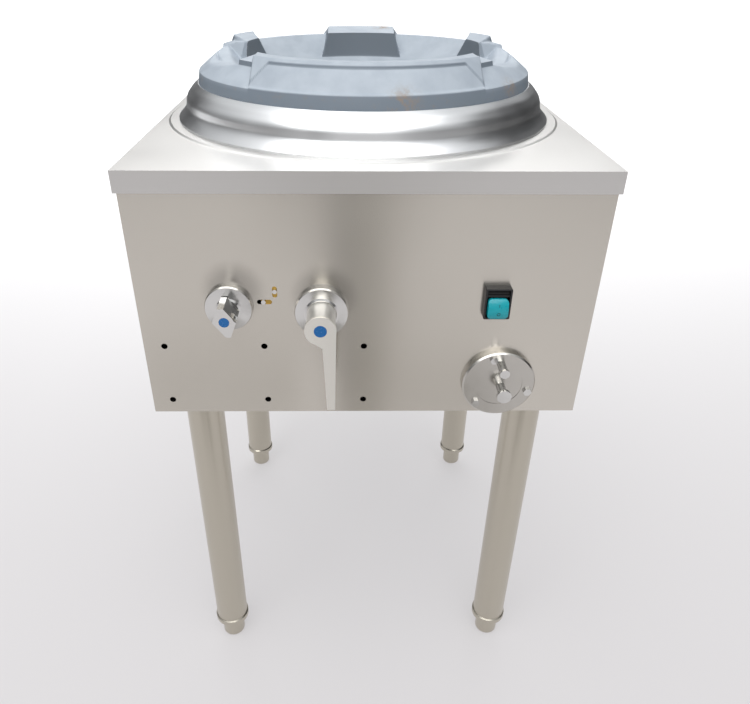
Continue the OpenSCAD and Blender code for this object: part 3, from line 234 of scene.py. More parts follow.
def satin_steel(name, hex_colour, roughness, grain_axis, anisotropy=0.75):
    """Ground stainless steel with grain lines along one axis and faint clouds from handling:
    returns the material, its tree and the shader."""
    material, tree, shader = new_material(name, hex_colour, 1.0, roughness)
    place = add(tree, "ShaderNodeTexCoord")
    across = 1 / (grain_mm * MM)
    along = 1 / (grain_run_mm * MM)
    scale = [along if i == grain_axis else across for i in range(3)]
    stretch = add(tree, "ShaderNodeMapping", Vector=place.outputs["Object"], Scale=scale)
    grain = add(tree, "ShaderNodeTexNoise", Vector=stretch.outputs[0], Scale=1.0, Detail=3.0,
                Roughness=0.6)
    clouds = add(tree, "ShaderNodeTexNoise", Vector=place.outputs["Object"],
                 Scale=1 / (cloud_mm * MM), Detail=2.0)
    wear = add(tree, "ShaderNodeMapRange", Value=clouds.outputs["Fac"],
               To_Min=roughness - cloud_wear, To_Max=roughness + cloud_wear)
    tree.links.new(wear.outputs[0], shader.inputs["Roughness"])
    dark = tuple(c * grain_dark for c in linear(hex_colour)[:3]) + (1.0,)
    tone = add(tree, "ShaderNodeMix", {"data_type": "RGBA"}, Factor=grain.outputs["Fac"],
               i6=dark, i7=linear(hex_colour))
    tree.links.new(tone.outputs[2], shader.inputs["Base Color"])
    if anisotropy:
        shader.inputs["Anisotropic"].default_value = anisotropy
        shader.inputs["Anisotropic Rotation"].default_value = 0.25
        turn = add(tree, "ShaderNodeTangent", {"direction_type": "RADIAL", "axis": "Z"})
        tree.links.new(turn.outputs[0], shader.inputs["Tangent"])
    return material, tree, shader


def dress(material, *names):
    """Gives CAD parts their material."""
    for name in names:
        slots = parts[name].material_slots
        if not slots:
            parts[name].data.materials.append(material)
        for slot in slots:
            slot.material = material


def soften(width_mm, *names):
    """Rounds the sharp edges of CAD parts a little, as deburred metal has them."""
    for name in names:
        weld = parts[name].modifiers.new("weld", "WELD")
        weld.merge_threshold = 0.00001
        round_off = parts[name].modifiers.new("deburr", "BEVEL")
        round_off.width = width_mm * MM
        round_off.segments = 2
        round_off.limit_method = "ANGLE"
        round_off.angle_limit = math.radians(35)
        round_off.harden_normals = False


satin_sheet, tree, shader = satin_steel("satin_430_stainless", sheet_colour, sheet_roughness, 0)
dress(satin_sheet, "side_panel_left", "side_panel_right", "back_panel", "air_box", "air_duct",
      "blower_housing")

# Front panel: the same sheet, cut out for the valves, the igniter, the switch and the port. Round
# each valve its colour is darkened as painted shade, which stands in for the valve's dark
# reflection in the panel.
panel_y = -290.4
painted_shade_spots = [(-170.0, 726.0, 33.0), (-54.0, 718.0, 36.0)]
painted_shade_fade = 14.0
painted_shade_depth = 0.7
shade_painted_sheet, tree, shader = satin_steel("shade_painted_430_stainless", sheet_colour,
                                          sheet_roughness, 0)
colour = shader.inputs["Base Color"].links[0].from_socket
place = add(tree, "ShaderNodeTexCoord")
# Painted shade: a darker disc of colour round each valve.
for x, z, r in painted_shade_spots:
    away = add(tree, "ShaderNodeVectorMath", {"operation": "DISTANCE"},
               i0=place.outputs["Object"], i1=(x * MM, panel_y * MM, z * MM))
    share = add(tree, "ShaderNodeMapRange", {"interpolation_type": "SMOOTHSTEP"},
                Value=away.outputs["Value"], From_Min=(r - painted_shade_fade) * MM,
                From_Max=(r + painted_shade_fade) * MM, To_Min=painted_shade_depth, To_Max=1.0)
    shaded_colour = add(tree, "ShaderNodeVectorMath", {"operation": "SCALE"}, i0=colour,
                 Scale=share.outputs[0])
    colour = shaded_colour.outputs[0]
tree.links.new(colour, shader.inputs["Base Color"])
dress(shade_painted_sheet, "front_panel")

# Panel screws: zinc-plated hexagon flange screws along the low edge of the side and back panels,
# driven into the angle iron of the base frame.
screw_z = 549.0
screw_flange_r = 5.4
screw_flange_h = 1.0
screw_flange_edge = 0.4
screw_flange_slope = 0.6
screw_flats_r = 3.6
screw_head_h = 3.2
screw_chamfer = 0.5
screw_side_y = (-262, -90, 90, 262)
screw_back_x = (-272, -90, 90, 272)
round_steps = 24
cabinet_half = 296.4
cabinet_back = 286.0
spangle_mm = 1.5
zinc, tree, shader = new_material("zinc_plated_steel", "#C9CDD2", 1.0, 0.3)
place = add(tree, "ShaderNodeTexCoord")
spangle = add(tree, "ShaderNodeTexNoise", Vector=place.outputs["Object"],
              Scale=1 / (spangle_mm * MM))
gloss = add(tree, "ShaderNodeMapRange", Value=spangle.outputs[0], To_Min=0.29, To_Max=0.38)
tree.links.new(gloss.outputs[0], shader.inputs["Roughness"])
hexagon_r = screw_flats_r / math.cos(math.radians(30))
profile = [(screw_flange_r, 0.0, False), (screw_flange_r, screw_flange_edge, False),
           (screw_flange_r - screw_flange_slope, screw_flange_h, False),
           (hexagon_r, screw_flange_h, True), (hexagon_r, screw_head_h - screw_chamfer, True),
           (hexagon_r - screw_chamfer, screw_head_h, True)]
screws_at = [(side * cabinet_half, y, side, 0) for side in (-1, 1) for y in screw_side_y]
screws_at += [(x, cabinet_back, 0, 1) for x in screw_back_x]
verts, faces = [], []
for x, y, out_x, out_y in screws_at:
    first = len(verts)
    for radius, height, six_sided in profile:
        for k in range(round_steps):
            turn = math.radians(360 / round_steps * k)
            from_flat = math.radians(360 / round_steps * (k % (round_steps // 6)) - 30)
            reach = radius
            if six_sided:
                reach *= math.cos(math.radians(30)) / math.cos(from_flat)
            a, b = reach * math.cos(turn), reach * math.sin(turn)
            verts.append(Vector((x + out_x * height - out_y * a, y + out_y * height + out_x * a,
                                 screw_z + b)) * MM)
    for row in range(len(profile) - 1):
        for k in range(round_steps):
            here = first + round_steps * row + k
            beyond = first + round_steps * row + (k + 1) % round_steps
            faces.append((here, beyond, beyond + round_steps, here + round_steps))
    last = first + round_steps * (len(profile) - 1)
    faces.append(tuple(range(last, last + round_steps)))
    faces.append(tuple(reversed(range(first, first + round_steps))))
screws = new_piece("panel_screws", verts, faces, zinc)
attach(screws, "root")

# Worktop: one folded sheet of fine satin stainless steel with a deep hemmed lip and a shallow
# pressed step. It lies under the soft box and looks almost white. Faces that turn away from the
# top, such as its lip, get a darker colour as painted shade.
worktop_colour = "#FBF9F6"
lip_painted_shade = 0.73
flat_from = 0.8
worktop_steel, tree, shader = satin_steel("fine_satin_stainless", worktop_colour, 0.34, 0, 0.0)
place = add(tree, "ShaderNodeTexCoord")
# Painted shade: the colour darkens as the face turns from level to upright.
axes = add(tree, "ShaderNodeSeparateXYZ", Vector=place.outputs["Normal"])
turned_away_shade = add(tree, "ShaderNodeMapRange", Value=axes.outputs["Z"], From_Max=flat_from,
             To_Min=lip_painted_shade, To_Max=1.0)
wear_and_shade = add(tree, "ShaderNodeVectorMath", {"operation": "SCALE"},
           i0=shader.inputs["Base Color"].links[0].from_socket, Scale=turned_away_shade.outputs[0])
tree.links.new(wear_and_shade.outputs[0], shader.inputs["Base Color"])
dress(worktop_steel, "worktop")

# Spun collar: 1.5 mm stainless sheet spun over a former and polished, held between the ring and
# the worktop's step. Faint rings are left by the spinning roller.
collar_colour = "#ECEDEE"
roller_mm = 2.2
collar_smear_mm = 60.0
polished_steel, tree, shader = new_material("polished_spun_stainless", collar_colour, 1.0, 0.3)
place = add(tree, "ShaderNodeTexCoord")
axes = add(tree, "ShaderNodeSeparateXYZ", Vector=place.outputs["Object"])
rings = add(tree, "ShaderNodeTexNoise", {"noise_dimensions": "1D"}, W=axes.outputs["Z"],
            Scale=1 / (roller_mm * MM), Detail=2.0)
relief = add(tree, "ShaderNodeBump", Height=rings.outputs[0], Strength=0.12, Distance=0.05 * MM)
tree.links.new(relief.outputs[0], shader.inputs["Normal"])
smears = add(tree, "ShaderNodeTexNoise", Vector=place.outputs["Object"],
             Scale=1 / (collar_smear_mm * MM), Detail=3.0)
gloss = add(tree, "ShaderNodeMapRange", Value=smears.outputs[0], From_Min=0.3, From_Max=0.7,
            To_Min=0.29, To_Max=0.36)
tree.links.new(gloss.outputs[0], shader.inputs["Roughness"])
dress(polished_steel, "bell_collar")

# Wok ring: grey iron, sand cast in one piece and painted with light grey-blue heat paint. Steep
# faces get a darker colour as painted shade. The mould leaves a fine grain, and rust creeps through
# the paint at worn edges.
paint_colour = "#A5AEB7"
paint_dark = "#9BA4AE"
steep_shade_colour = "#6F7983"
rust_colour = "#8F7A64"
sand_mm = 1.6
swell_mm = 28.0
rust_mm = 11.0
# Rust: middle of each patch and its radius.
rust_spots = [((45, -213, 936), 33), ((36, 235, 980), 30), ((-170, -90, 974), 20),
              ((200, -130, 948), 30)]
heat_paint, tree, shader = new_material("heat_painted_cast_iron", paint_colour, 0.0, 0.5)
place = add(tree, "ShaderNodeTexCoord")
sand = add(tree, "ShaderNodeTexNoise", Vector=place.outputs["Object"], Scale=1 / (sand_mm * MM),
           Detail=4.0, Roughness=0.6)
swell = add(tree, "ShaderNodeTexNoise", Vector=place.outputs["Object"], Scale=1 / (swell_mm * MM),
            Detail=3.0)
height = add(tree, "ShaderNodeMath", {"operation": "ADD"}, i0=swell.outputs[0], i1=sand.outputs[0])
relief = add(tree, "ShaderNodeBump", Height=height.outputs[0], Strength=0.35, Distance=0.4 * MM)
tree.links.new(relief.outputs[0], shader.inputs["Normal"])
brushed = add(tree, "ShaderNodeMapRange", Value=swell.outputs[0], From_Min=0.35, From_Max=0.65)
tone = add(tree, "ShaderNodeMix", {"data_type": "RGBA"}, Factor=brushed.outputs[0],
           i6=linear(paint_dark), i7=linear(paint_colour))
edge = add(tree, "ShaderNodeNewGeometry")
wear_and_shade = add(tree, "ShaderNodeMapRange", Value=edge.outputs["Pointiness"], From_Min=0.52,
           From_Max=0.6)
spots = add(tree, "ShaderNodeTexNoise", Vector=place.outputs["Object"], Scale=1 / (rust_mm * MM),
            Detail=4.0, Roughness=0.7)
spotty = add(tree, "ShaderNodeMapRange", Value=spots.outputs[0], From_Min=0.55, From_Max=0.72,
             To_Max=0.6)
rusty = add(tree, "ShaderNodeMath", {"operation": "MULTIPLY"}, i0=wear_and_shade.outputs[0],
            i1=spotty.outputs[0])
stain = add(tree, "ShaderNodeMapRange", Value=spots.outputs[0], From_Min=0.42, From_Max=0.62,
            To_Max=0.85)
for spot_at, spot_r in rust_spots:
    gone = add(tree, "ShaderNodeVectorMath", {"operation": "DISTANCE"},
               i0=place.outputs["Object"], i1=Vector(spot_at) * MM)
    near = add(tree, "ShaderNodeMapRange", {"interpolation_type": "SMOOTHSTEP"},
               Value=gone.outputs["Value"], From_Max=spot_r * MM, To_Min=1.0, To_Max=0.0)
    patch = add(tree, "ShaderNodeMath", {"operation": "MULTIPLY"}, i0=near.outputs[0],
                i1=stain.outputs[0])
    rusty = add(tree, "ShaderNodeMath", {"operation": "MAXIMUM"}, i0=rusty.outputs[0],
                i1=patch.outputs[0])
# Painted shade: faces that turn from level to steep take the darker colour.
facing = add(tree, "ShaderNodeSeparateXYZ", Vector=place.outputs["Normal"])
upright_shade = add(tree, "ShaderNodeMapRange", Value=facing.outputs["Z"], From_Min=0.28, From_Max=0.56)
paint_with_shade = add(tree, "ShaderNodeMix", {"data_type": "RGBA"}, Factor=upright_shade.outputs[0],
              i6=linear(steep_shade_colour), i7=tone.outputs[2])
coat = add(tree, "ShaderNodeMix", {"data_type": "RGBA"}, Factor=rusty.outputs[0],
           i6=paint_with_shade.outputs[2], i7=linear(rust_colour))
tree.links.new(coat.outputs[2], shader.inputs["Base Color"])
dress(heat_paint, "wok_ring")

# The casting is one height field round its axis. Radii and heights over its seat are in
# millimetres, and angles are in degrees from the front.
ring_y = 26.0
seat_z = 930.7
ring_r = 245.2
rim_top_r = 242.3
rim_h = 16.6
rim_round = (0.6, -1.0)
dish = [(150.0, -6.0), (162.0, 3.0), (206.7, 40.0), (212.7, 40.0), (rim_top_r, rim_h)]
underside = [(ring_r, 0.0), (229.5, 0.0), (229.5, -6.0), (221.5, -6.0), (221.5, 6.0),
             (212.7, 16.0), (206.7, 16.0), (162.0, -12.0), (162.0, -20.0), (150.0, -20.0)]
cast_fillet = 3.0
# Flame exits: hollows across the dish.
exit_h = 28.5
exit_curve_r = 330.0
exit_angle = 73.0
exit_reach = 0.9 * exit_curve_r
# Each lug: middle, inner radius and height, lean of its flanks near the dish and out on the slope,
# and each flank's angle at the inner and the outer edge.
lug_face_r = 175.3
lug_inner_h = 47.3
lug_outer_r = 215.6
lug_outer_h = 51.3
lug_fillet = 1.6
lug_sector = 62.0
slope_r = 200.0
slope_run = 20.0
face_draft = 14.0
lugs = [(0.0, lug_face_r, lug_inner_h, 31.0, 9.0, (-57.0, -42.5), (57.0, 42.5)),
        (180.0, 171.0, 45.0, 16.0, 36.0, (161.5, 164.3), (198.5, 195.7)),
        (110.0, lug_face_r, lug_inner_h, 27.0, 9.0, (96.0, 110.0), (112.0, 125.0)),
        (-110.0, lug_face_r, lug_inner_h, 27.0, 9.0, (-112.0, -125.0), (-96.0, -110.0))]
# Each low ledge beside a lug: its free edge's angle near the inner and at the outer edge, which
# side the lug is on, the lug's flank angles, and the lean of the free edge.
ledge_face_r = 163.3
ledge_h = 43.0
ledge_sector = 30.0
ledge_rear_drop = 6.0
ledge_lug_rise = 2.0
ledge_lug_lift = 12.0
ledges = [(55.9, 50.6, -1, 57.0, 43.0, 8.0), (-55.9, -50.6, 1, -57.0, -43.0, 8.0),
          (97.1, 99.0, 1, 96.0, 110.0, 30.0), (-97.1, -99.0, -1, -96.0, -110.0, 30.0)]
# Sunk panel on the front slope, with a groove round it: angles at its low and its high edge, and
# its share of the slope.
panel_sink = 2.0
panel_share = (0.06, 0.88)
panel_angle = (40.6, 33.5)
panel_sector = 60.0
panel_side_fade = 0.25
panel_high_fade = 0.04
panel_low_fade = 0.1
groove_depth = 0.9
groove_run = 4.0
# Casting slits in the slope beside the flame exits.
slit_angle = (75.0, 92.0)
slit_r = (208.0, 220.0)
slit_depth = 3.0
slit_half = 1.6
# Mesh steps in degrees and millimetres, fine where a flank or an edge needs them.
fine_turn = 0.25
coarse_turn = 1.0
fine_step = 0.35
coarse_step = 1.3


def on_ring(radius, angle):
    """Plan point at a radius and an angle from the front."""
    return radius * math.sin(math.radians(angle)), -radius * math.cos(math.radians(angle))


def beside(point, low, high, side):
    """Distance of a plan point from the line through two others, positive on the given side."""
    across, along = high[0] - low[0], high[1] - low[1]
    reach = math.hypot(across, along)
    return side * (across * (point[1] - low[1]) - along * (point[0] - low[0])) / reach


def turned_by(angle, other):
    """Size of the turn between two angles."""
    return abs((angle - other + 180) % 360 - 180)


def blend_up(a, b, width):
    """The higher of two heights, with a fillet where they meet."""
    overlap = max(width - abs(a - b), 0.0) / width
    return max(a, b) + overlap * overlap * width / 4


def profile_height(profile, radius):
    """Height of a turned outline at a radius."""
    for (r0, z0), (r1, z1) in zip(profile, profile[1:]):
        if radius <= r1:
            return z0 + (z1 - z0) * (radius - r0) / (r1 - r0)
    return profile[-1][1]


def lug_height(radius, inner_r, inner_h):
    """Height of a lug's own outline at a radius."""
    if radius < inner_r:
        return inner_h - (inner_r - radius) * face_draft
    if radius < lug_outer_r:
        return inner_h + (lug_outer_h - inner_h) * (radius - inner_r) / (lug_outer_r - inner_r)
    return lug_outer_h - (lug_outer_h - rim_h) * (radius - lug_outer_r) / (rim_top_r - lug_outer_r)


def ring_height(radius, angle):
    """Height of the ring's upper side over its seat."""
    point = on_ring(radius, angle)
    height = profile_height(dish, radius)
    for side in (-1, 1):
        turned = math.radians(angle - side * exit_angle)
        if math.cos(turned) > 0:
            away = min(abs(radius * math.sin(turned)), exit_reach)
            hollow = exit_h + exit_curve_r - math.sqrt(exit_curve_r ** 2 - away ** 2)
            height = -blend_up(-height, -hollow, cast_fillet)
    for middle, inner_r, inner_h, lean, outer_lean, start, end in lugs:
        if turned_by(angle, middle) < lug_sector:
            outward = min(max((radius - slope_r) / slope_run, 0.0), 1.0)
            steep = 1 / math.tan(math.radians(lean + (outer_lean - lean) * outward))
            top = lug_height(radius, inner_r, inner_h)
            for (inner, outer), side in ((start, 1), (end, -1)):
                away = beside(point, on_ring(lug_face_r, inner), on_ring(lug_outer_r, outer), side)
                top = -blend_up(-top, -(lug_inner_h + steep * away), lug_fillet)
            height = blend_up(height, top, cast_fillet)
    for inner, outer, side, lug_inner, lug_outer, lean in ledges:
        if turned_by(angle, outer) < ledge_sector:
            edge = beside(point, on_ring(ledge_face_r, inner), on_ring(lug_outer_r, outer), side)
            under_lug = beside(point, on_ring(lug_face_r, lug_inner),
                               on_ring(lug_outer_r, lug_outer), -side)
            inward = (lug_outer_r - radius) / (lug_outer_r - lug_face_r)
            top = min(ledge_h + (lug_inner_h - ledge_h) * inward,
                      lug_inner_h - (lug_face_r - radius) * face_draft,
                      ledge_h - (radius - lug_outer_r) * ledge_rear_drop,
                      ledge_h + edge / math.tan(math.radians(lean)),
                      ledge_h + under_lug * ledge_lug_rise + ledge_lug_lift)
            height = blend_up(height, top, cast_fillet / 2)
    if radius > lug_outer_r and abs(angle) < panel_sector:
        up = (rim_top_r - radius) / (rim_top_r - lug_outer_r)
        half_angle = panel_angle[0] + (panel_angle[1] - panel_angle[0]) * up
        inside = min((half_angle - abs(angle)) / panel_side_fade,
                     (panel_share[1] - up) / panel_high_fade,
                     (up - panel_share[0]) / panel_low_fade)
        height -= panel_sink * min(max(inside, 0.0), 1.0)
        if 0 < inside < groove_run:
            height -= groove_depth * (1 - inside / groove_run)
    along = (abs(angle) - slit_angle[0]) / (slit_angle[1] - slit_angle[0])
    if 0 < along < 1:
        off = (radius - slit_r[0] - (slit_r[1] - slit_r[0]) * along) / slit_half
        height -= slit_depth * math.exp(-off * off) * math.sin(math.pi * along)
    return height


radii = []
radius = dish[0][0]
while radius < rim_top_r:
    radii.append(radius)
    fine = 163 < radius < 178 or 214 < radius < 221
    radius += fine_step if fine else coarse_step
radii.append(rim_top_r)
turns = []
angle = -180.0
while angle < 180.0:
    turns.append(angle)
    away = abs(angle)
    fine = 31 < away < 60 or 94 < away < 127 or away > 159
    angle += fine_turn if fine else coarse_turn
verts = []
for angle in turns:
    column = [(r, ring_height(r, angle)) for r in radii]
    column += [(rim_top_r + rim_round[0], rim_h + rim_round[1])] + underside
    for r, z in column:
        x, y = on_ring(r, angle)
        verts.append(Vector((x, y + ring_y, z + seat_z)) * MM)
rows = len(radii) + 1 + len(underside)
faces = []
for step in range(len(turns)):
    here, after = step * rows, (step + 1) % len(turns) * rows
    for row in range(rows):
        above = (row + 1) % rows
        faces.append((here + row, here + above, after + above, after + row))
cast_ring = new_piece("cast_wok_ring", verts, faces, heat_paint, 48)
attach(cast_ring, "ring")
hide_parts("wok_ring")

# Legs, collars, feet and fuel pipes: drawn stainless tube with satin grain along its length. The
# legs stand in bolted sockets, and each foot screws into the end of its leg.
tube_colour = "#C4BEB1"
leg_steel, tree, shader = satin_steel("satin_stainless_tube", tube_colour, 0.3, 2, 0.0)
dress(leg_steel, "leg_front_left", "leg_front_right", "leg_rear_left", "leg_rear_right",
      "leg_collars", "foot_front_left", "foot_front_right", "foot_rear_left", "foot_rear_right",
      "supply_pipe", "main_fuel_pipe")

# Base frame, leg sockets, combustion drum and motor: welded mild steel under matt black paint,
# with a fine orange-peel skin.
frame_paint = "#3A3A3C"
peel_mm = 2.0
black_paint, tree, shader = new_material("black_painted_steel", frame_paint, 0.0, 0.55)
place = add(tree, "ShaderNodeTexCoord")
peel = add(tree, "ShaderNodeTexNoise", Vector=place.outputs["Object"], Scale=1 / (peel_mm * MM),
           Detail=2.0)
relief = add(tree, "ShaderNodeBump", Height=peel.outputs[0], Strength=0.2, Distance=0.1 * MM)
tree.links.new(relief.outputs[0], shader.inputs["Normal"])
dress(black_paint, "base_frame", "leg_sockets", "combustion_drum", "blower_motor")

# Lining: refractory clay rammed into the drum and fired in place. It is pale and gritty, with
# patches that the flame has scorched.
clay_colour = "#BDAA8C"
clay_scorched = "#6E5F50"
grit_mm = 4.0
scorch_mm = 55.0
fire_clay, tree, shader = new_material("rammed_fire_clay", clay_colour, 0.0, 0.9)
place = add(tree, "ShaderNodeTexCoord")
grit = add(tree, "ShaderNodeTexNoise", Vector=place.outputs["Object"], Scale=1 / (grit_mm * MM),
           Detail=5.0)
scorch = add(tree, "ShaderNodeTexNoise", Vector=place.outputs["Object"],
             Scale=1 / (scorch_mm * MM), Detail=3.0)
burn = add(tree, "ShaderNodeMapRange", Value=scorch.outputs[0], From_Min=0.45, From_Max=0.7)
tone = add(tree, "ShaderNodeMix", {"data_type": "RGBA"}, Factor=burn.outputs[0],
           i6=linear(clay_colour), i7=linear(clay_scorched))
tree.links.new(tone.outputs[2], shader.inputs["Base Color"])
relief = add(tree, "ShaderNodeBump", Height=grit.outputs[0], Strength=0.5, Distance=1.0 * MM)
tree.links.new(relief.outputs[0], shader.inputs["Normal"])
dress(fire_clay, "refractory_lining")

# Burner head and damper body: grey iron, sand cast and left bare, so dark and rough. The burner
# head sits on the air box at the foot of the drum.
iron_colour = "#4A4745"
iron_grain_mm = 1.6
raw_iron, tree, shader = new_material("raw_cast_iron", iron_colour, 0.6, 0.6)
place = add(tree, "ShaderNodeTexCoord")
grain = add(tree, "ShaderNodeTexNoise", Vector=place.outputs["Object"],
            Scale=1 / (iron_grain_mm * MM), Detail=4.0)
relief = add(tree, "ShaderNodeBump", Height=grain.outputs[0], Strength=0.4, Distance=0.3 * MM)
tree.links.new(relief.outputs[0], shader.inputs["Normal"])
dress(raw_iron, "burner_head", "damper_body")

# Escutcheons, knob, posts and screws: turned or pressed brass and steel, polished and chrome
# plated, a little smeared by hands.
chrome_colour = "#D9D8D6"
chrome_smear_mm = 9.0
chrome, tree, shader = new_material("polished_chrome_plate", chrome_colour, 1.0, 0.17)
place = add(tree, "ShaderNodeTexCoord")
smears = add(tree, "ShaderNodeTexNoise", Vector=place.outputs["Object"],
             Scale=1 / (chrome_smear_mm * MM), Detail=3.0)
gloss = add(tree, "ShaderNodeMapRange", Value=smears.outputs[0], From_Min=0.3, From_Max=0.7,
            To_Min=0.13, To_Max=0.22)
tree.links.new(gloss.outputs[0], shader.inputs["Roughness"])
dress(chrome, "main_escutcheon", "pilot_escutcheon", "pilot_knob", "port_bolts", "port_post",
      "damper_spindle", "bracket_screws", "blower_shaft")
soften(0.6, "pilot_knob", "port_post", "damper_spindle")
soften(0.4, "port_bolts")

# Lever: zinc die casting under satin chrome plate, pushed onto the main valve's stem. It is milky
# where hands have rubbed it.
lever_colour = "#E9E6DF"
lever_smear_mm = 25.0
satin_chrome, tree, shader = new_material("satin_chrome_plate", lever_colour, 0.75, 0.3)
place = add(tree, "ShaderNodeTexCoord")
smears = add(tree, "ShaderNodeTexNoise", Vector=place.outputs["Object"],
             Scale=1 / (lever_smear_mm * MM), Detail=3.0)
gloss = add(tree, "ShaderNodeMapRange", Value=smears.outputs[0], To_Min=0.29, To_Max=0.36)
tree.links.new(gloss.outputs[0], shader.inputs["Roughness"])
dress(satin_chrome, "main_lever")
soften(0.6, "main_lever")

# Valves, fittings and igniter bracket: brass, machined from bar or pressed, slightly tarnished.
# The fittings screw together, and the bracket hangs on two screws.
brass_colour = "#C9A24E"
brass_tarnished = "#A8823A"
brass_bright = "#D8B666"
tarnish_mm = 14.0
brass, tree, shader = new_material("machined_brass", brass_colour, 1.0, 0.3)
place = add(tree, "ShaderNodeTexCoord")
tarnish = add(tree, "ShaderNodeTexNoise", Vector=place.outputs["Object"],
              Scale=1 / (tarnish_mm * MM), Detail=3.0)
tone = add(tree, "ShaderNodeMix", {"data_type": "RGBA"}, Factor=tarnish.outputs[0],
           i6=linear(brass_tarnished), i7=linear(brass_bright))
tree.links.new(tone.outputs[2], shader.inputs["Base Color"])
dress(brass, "main_valve_body", "pilot_valve_body", "fuel_manifold", "inlet_nipple", "pilot_tube",
      "igniter_bracket", "main_stem", "pilot_stem", "damper_cam")

# Blue caps: small discs moulded in glossy ABS and pressed into the lever and the knob, over the
# screws that hold them.
cap_blue = "#0A5E9E"
cap_flow_mm = 3.0
blue_abs, tree, shader = new_material("blue_gloss_abs", cap_blue, 0.0, 0.25)
place = add(tree, "ShaderNodeTexCoord")
flow = add(tree, "ShaderNodeTexNoise", Vector=place.outputs["Object"],
           Scale=1 / (cap_flow_mm * MM), Detail=2.0)
gloss = add(tree, "ShaderNodeMapRange", Value=flow.outputs[0], To_Min=0.2, To_Max=0.32)
tree.links.new(gloss.outputs[0], shader.inputs["Roughness"])
dress(blue_abs, "main_cap", "pilot_cap")

# Switch: frame and body moulded in black nylon and snapped into the panel, a bellows boot of black
# silicone rubber, and a key of translucent teal polycarbonate. The cable gland and the blower wheel
# are black nylon too.
nylon_black = "#18181A"
spark_mm = 0.6
black_nylon, tree, shader = new_material("black_moulded_nylon", nylon_black, 0.0, 0.38)
place = add(tree, "ShaderNodeTexCoord")
spark = add(tree, "ShaderNodeTexNoise", Vector=place.outputs["Object"], Scale=1 / (spark_mm * MM),
            Detail=2.0)
relief = add(tree, "ShaderNodeBump", Height=spark.outputs[0], Strength=0.15, Distance=0.05 * MM)
tree.links.new(relief.outputs[0], shader.inputs["Normal"])
dress(black_nylon, "switch_frame", "switch_body", "cable_gland", "blower_wheel")
soften(0.5, "switch_frame")

rubber_black = "#101011"
dust_mm = 2.5
boot_rubber, tree, shader = new_material("black_silicone_rubber", rubber_black, 0.0, 0.5)
place = add(tree, "ShaderNodeTexCoord")
dust = add(tree, "ShaderNodeTexNoise", Vector=place.outputs["Object"], Scale=1 / (dust_mm * MM),
           Detail=3.0)
gloss = add(tree, "ShaderNodeMapRange", Value=dust.outputs[0], To_Min=0.4, To_Max=0.62)
tree.links.new(gloss.outputs[0], shader.inputs["Roughness"])
dress(boot_rubber, "switch_boot")
soften(0.5, "switch_boot")

key_teal = "#0E97A2"
key_flow_mm = 4.0
teal_key, tree, shader = new_material("teal_polycarbonate", key_teal, 0.0, 0.28)
shader.inputs["Subsurface Weight"].default_value = 0.15
shader.inputs["Subsurface Radius"].default_value = (0.3 * MM, 1.5 * MM, 1.5 * MM)
place = add(tree, "ShaderNodeTexCoord")
flow = add(tree, "ShaderNodeTexNoise", Vector=place.outputs["Object"],
           Scale=1 / (key_flow_mm * MM), Detail=2.0)
gloss = add(tree, "ShaderNodeMapRange", Value=flow.outputs[0], To_Min=0.22, To_Max=0.36)
tree.links.new(gloss.outputs[0], shader.inputs["Roughness"])
dress(teal_key, "switch_rocker")
soften(0.7, "switch_rocker")

# Switch marks: the line and the ring for on and off, pad printed on the key in thick black ink.
# Places are in millimetres across and up from the key's axle.
key_x = 167.0
key_z = 706.2
dome_r = 26.0
dome_up = -3.0
dome_out = -8.4
ink_black = "#0A1214"
ink_mm = 0.12
ink_speck_mm = 0.8
line_at = (1.2, 5.4)
line_half = (0.35, 1.6)
ring_at = (0.8, -5.9)
ring_radii = (2.3, 1.6)


def on_key(across, up, lift):
    """A point on the domed key, lifted off its skin."""
    out = dome_out + math.sqrt(dome_r ** 2 - (up - dome_up) ** 2) + lift
    return Vector((key_x + across, panel_y - out, key_z + up)) * MM


def print_mark(name, loops):
    """A thin inked shape on the key within a loop of points, or between an outer and an inner."""
    count = len(loops[0])
    layers = [[on_key(x, z, lift) for x, z in loop] for lift in (-ink_mm, ink_mm) for loop in loops]
    verts = [v for layer in layers for v in layer]
    faces = []
    turns = [(i, (i + 1) % count) for i in range(count)]
    if len(loops) == 2:
        low_out, low_in, top_out, top_in = (k * count for k in range(4))
        for i, j in turns:
            faces += [(top_out + i, top_out + j, top_in + j, top_in + i),
                      (low_out + j, low_out + i, low_in + i, low_in + j),
                      (low_out + i, low_out + j, top_out + j, top_out + i),
                      (low_in + j, low_in + i, top_in + i, top_in + j)]
    else:
        faces += [tuple(range(count, 2 * count)), tuple(reversed(range(count)))]
        faces += [(i, j, count + j, count + i) for i, j in turns]
    mark = new_piece(name, verts, faces, black_ink)
    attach(mark, "rocker")


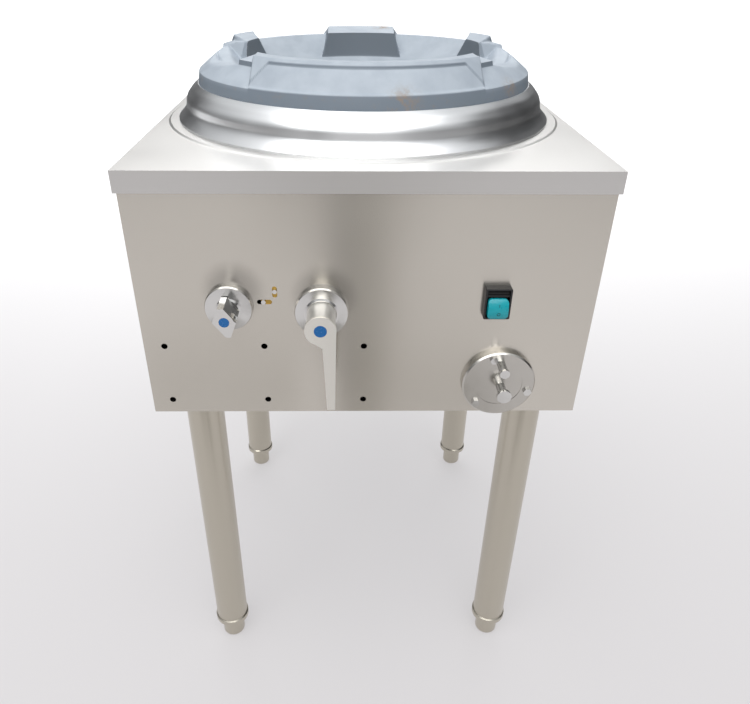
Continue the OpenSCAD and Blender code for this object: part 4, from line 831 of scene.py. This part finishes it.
black_ink, tree, shader = new_material("black_pad_ink", ink_black, 0.0, 0.45)
place = add(tree, "ShaderNodeTexCoord")
specks = add(tree, "ShaderNodeTexNoise", Vector=place.outputs["Object"],
             Scale=1 / (ink_speck_mm * MM))
gloss = add(tree, "ShaderNodeMapRange", Value=specks.outputs[0], To_Min=0.4, To_Max=0.55)
tree.links.new(gloss.outputs[0], shader.inputs["Roughness"])
print_mark("on_mark", [[(line_at[0] + x * line_half[0], line_at[1] + z * line_half[1])
                        for x, z in ((-1, -1), (1, -1), (1, 1), (-1, 1))]])
round_turns = [math.radians(a) for a in range(0, 360, 15)]
print_mark("off_mark", [[(ring_at[0] + r * math.cos(a), ring_at[1] + r * math.sin(a))
                         for a in round_turns] for r in ring_radii])

# Port cover: a disc turned from stainless bar and polished, held by three hexagon bolts. The tool
# leaves faint rings on its face.
cover_colour = "#C4C1BB"
cover_smear_mm = 12.0
turning_mm = 1.1
port_x = 182.7
port_z = 587.8
cover_steel, tree, shader = new_material("turned_polished_stainless", cover_colour, 1.0, 0.23)
place = add(tree, "ShaderNodeTexCoord")
centred = add(tree, "ShaderNodeVectorMath", {"operation": "SUBTRACT"},
              i0=place.outputs["Object"], i1=(port_x * MM, 0, port_z * MM))
flat = add(tree, "ShaderNodeVectorMath", {"operation": "MULTIPLY"}, i0=centred.outputs[0],
           i1=(1, 0, 1))
reach = add(tree, "ShaderNodeVectorMath", {"operation": "LENGTH"}, i0=flat.outputs[0])
rings = add(tree, "ShaderNodeTexNoise", {"noise_dimensions": "1D"}, W=reach.outputs["Value"],
            Scale=1 / (turning_mm * MM), Detail=2.0)
relief = add(tree, "ShaderNodeBump", Height=rings.outputs[0], Strength=0.15, Distance=0.04 * MM)
tree.links.new(relief.outputs[0], shader.inputs["Normal"])
smears = add(tree, "ShaderNodeTexNoise", Vector=place.outputs["Object"],
             Scale=1 / (cover_smear_mm * MM), Detail=3.0)
gloss = add(tree, "ShaderNodeMapRange", Value=smears.outputs[0], From_Min=0.3, From_Max=0.7,
            To_Min=0.2, To_Max=0.26)
tree.links.new(gloss.outputs[0], shader.inputs["Roughness"])
dress(cover_steel, "port_cover")
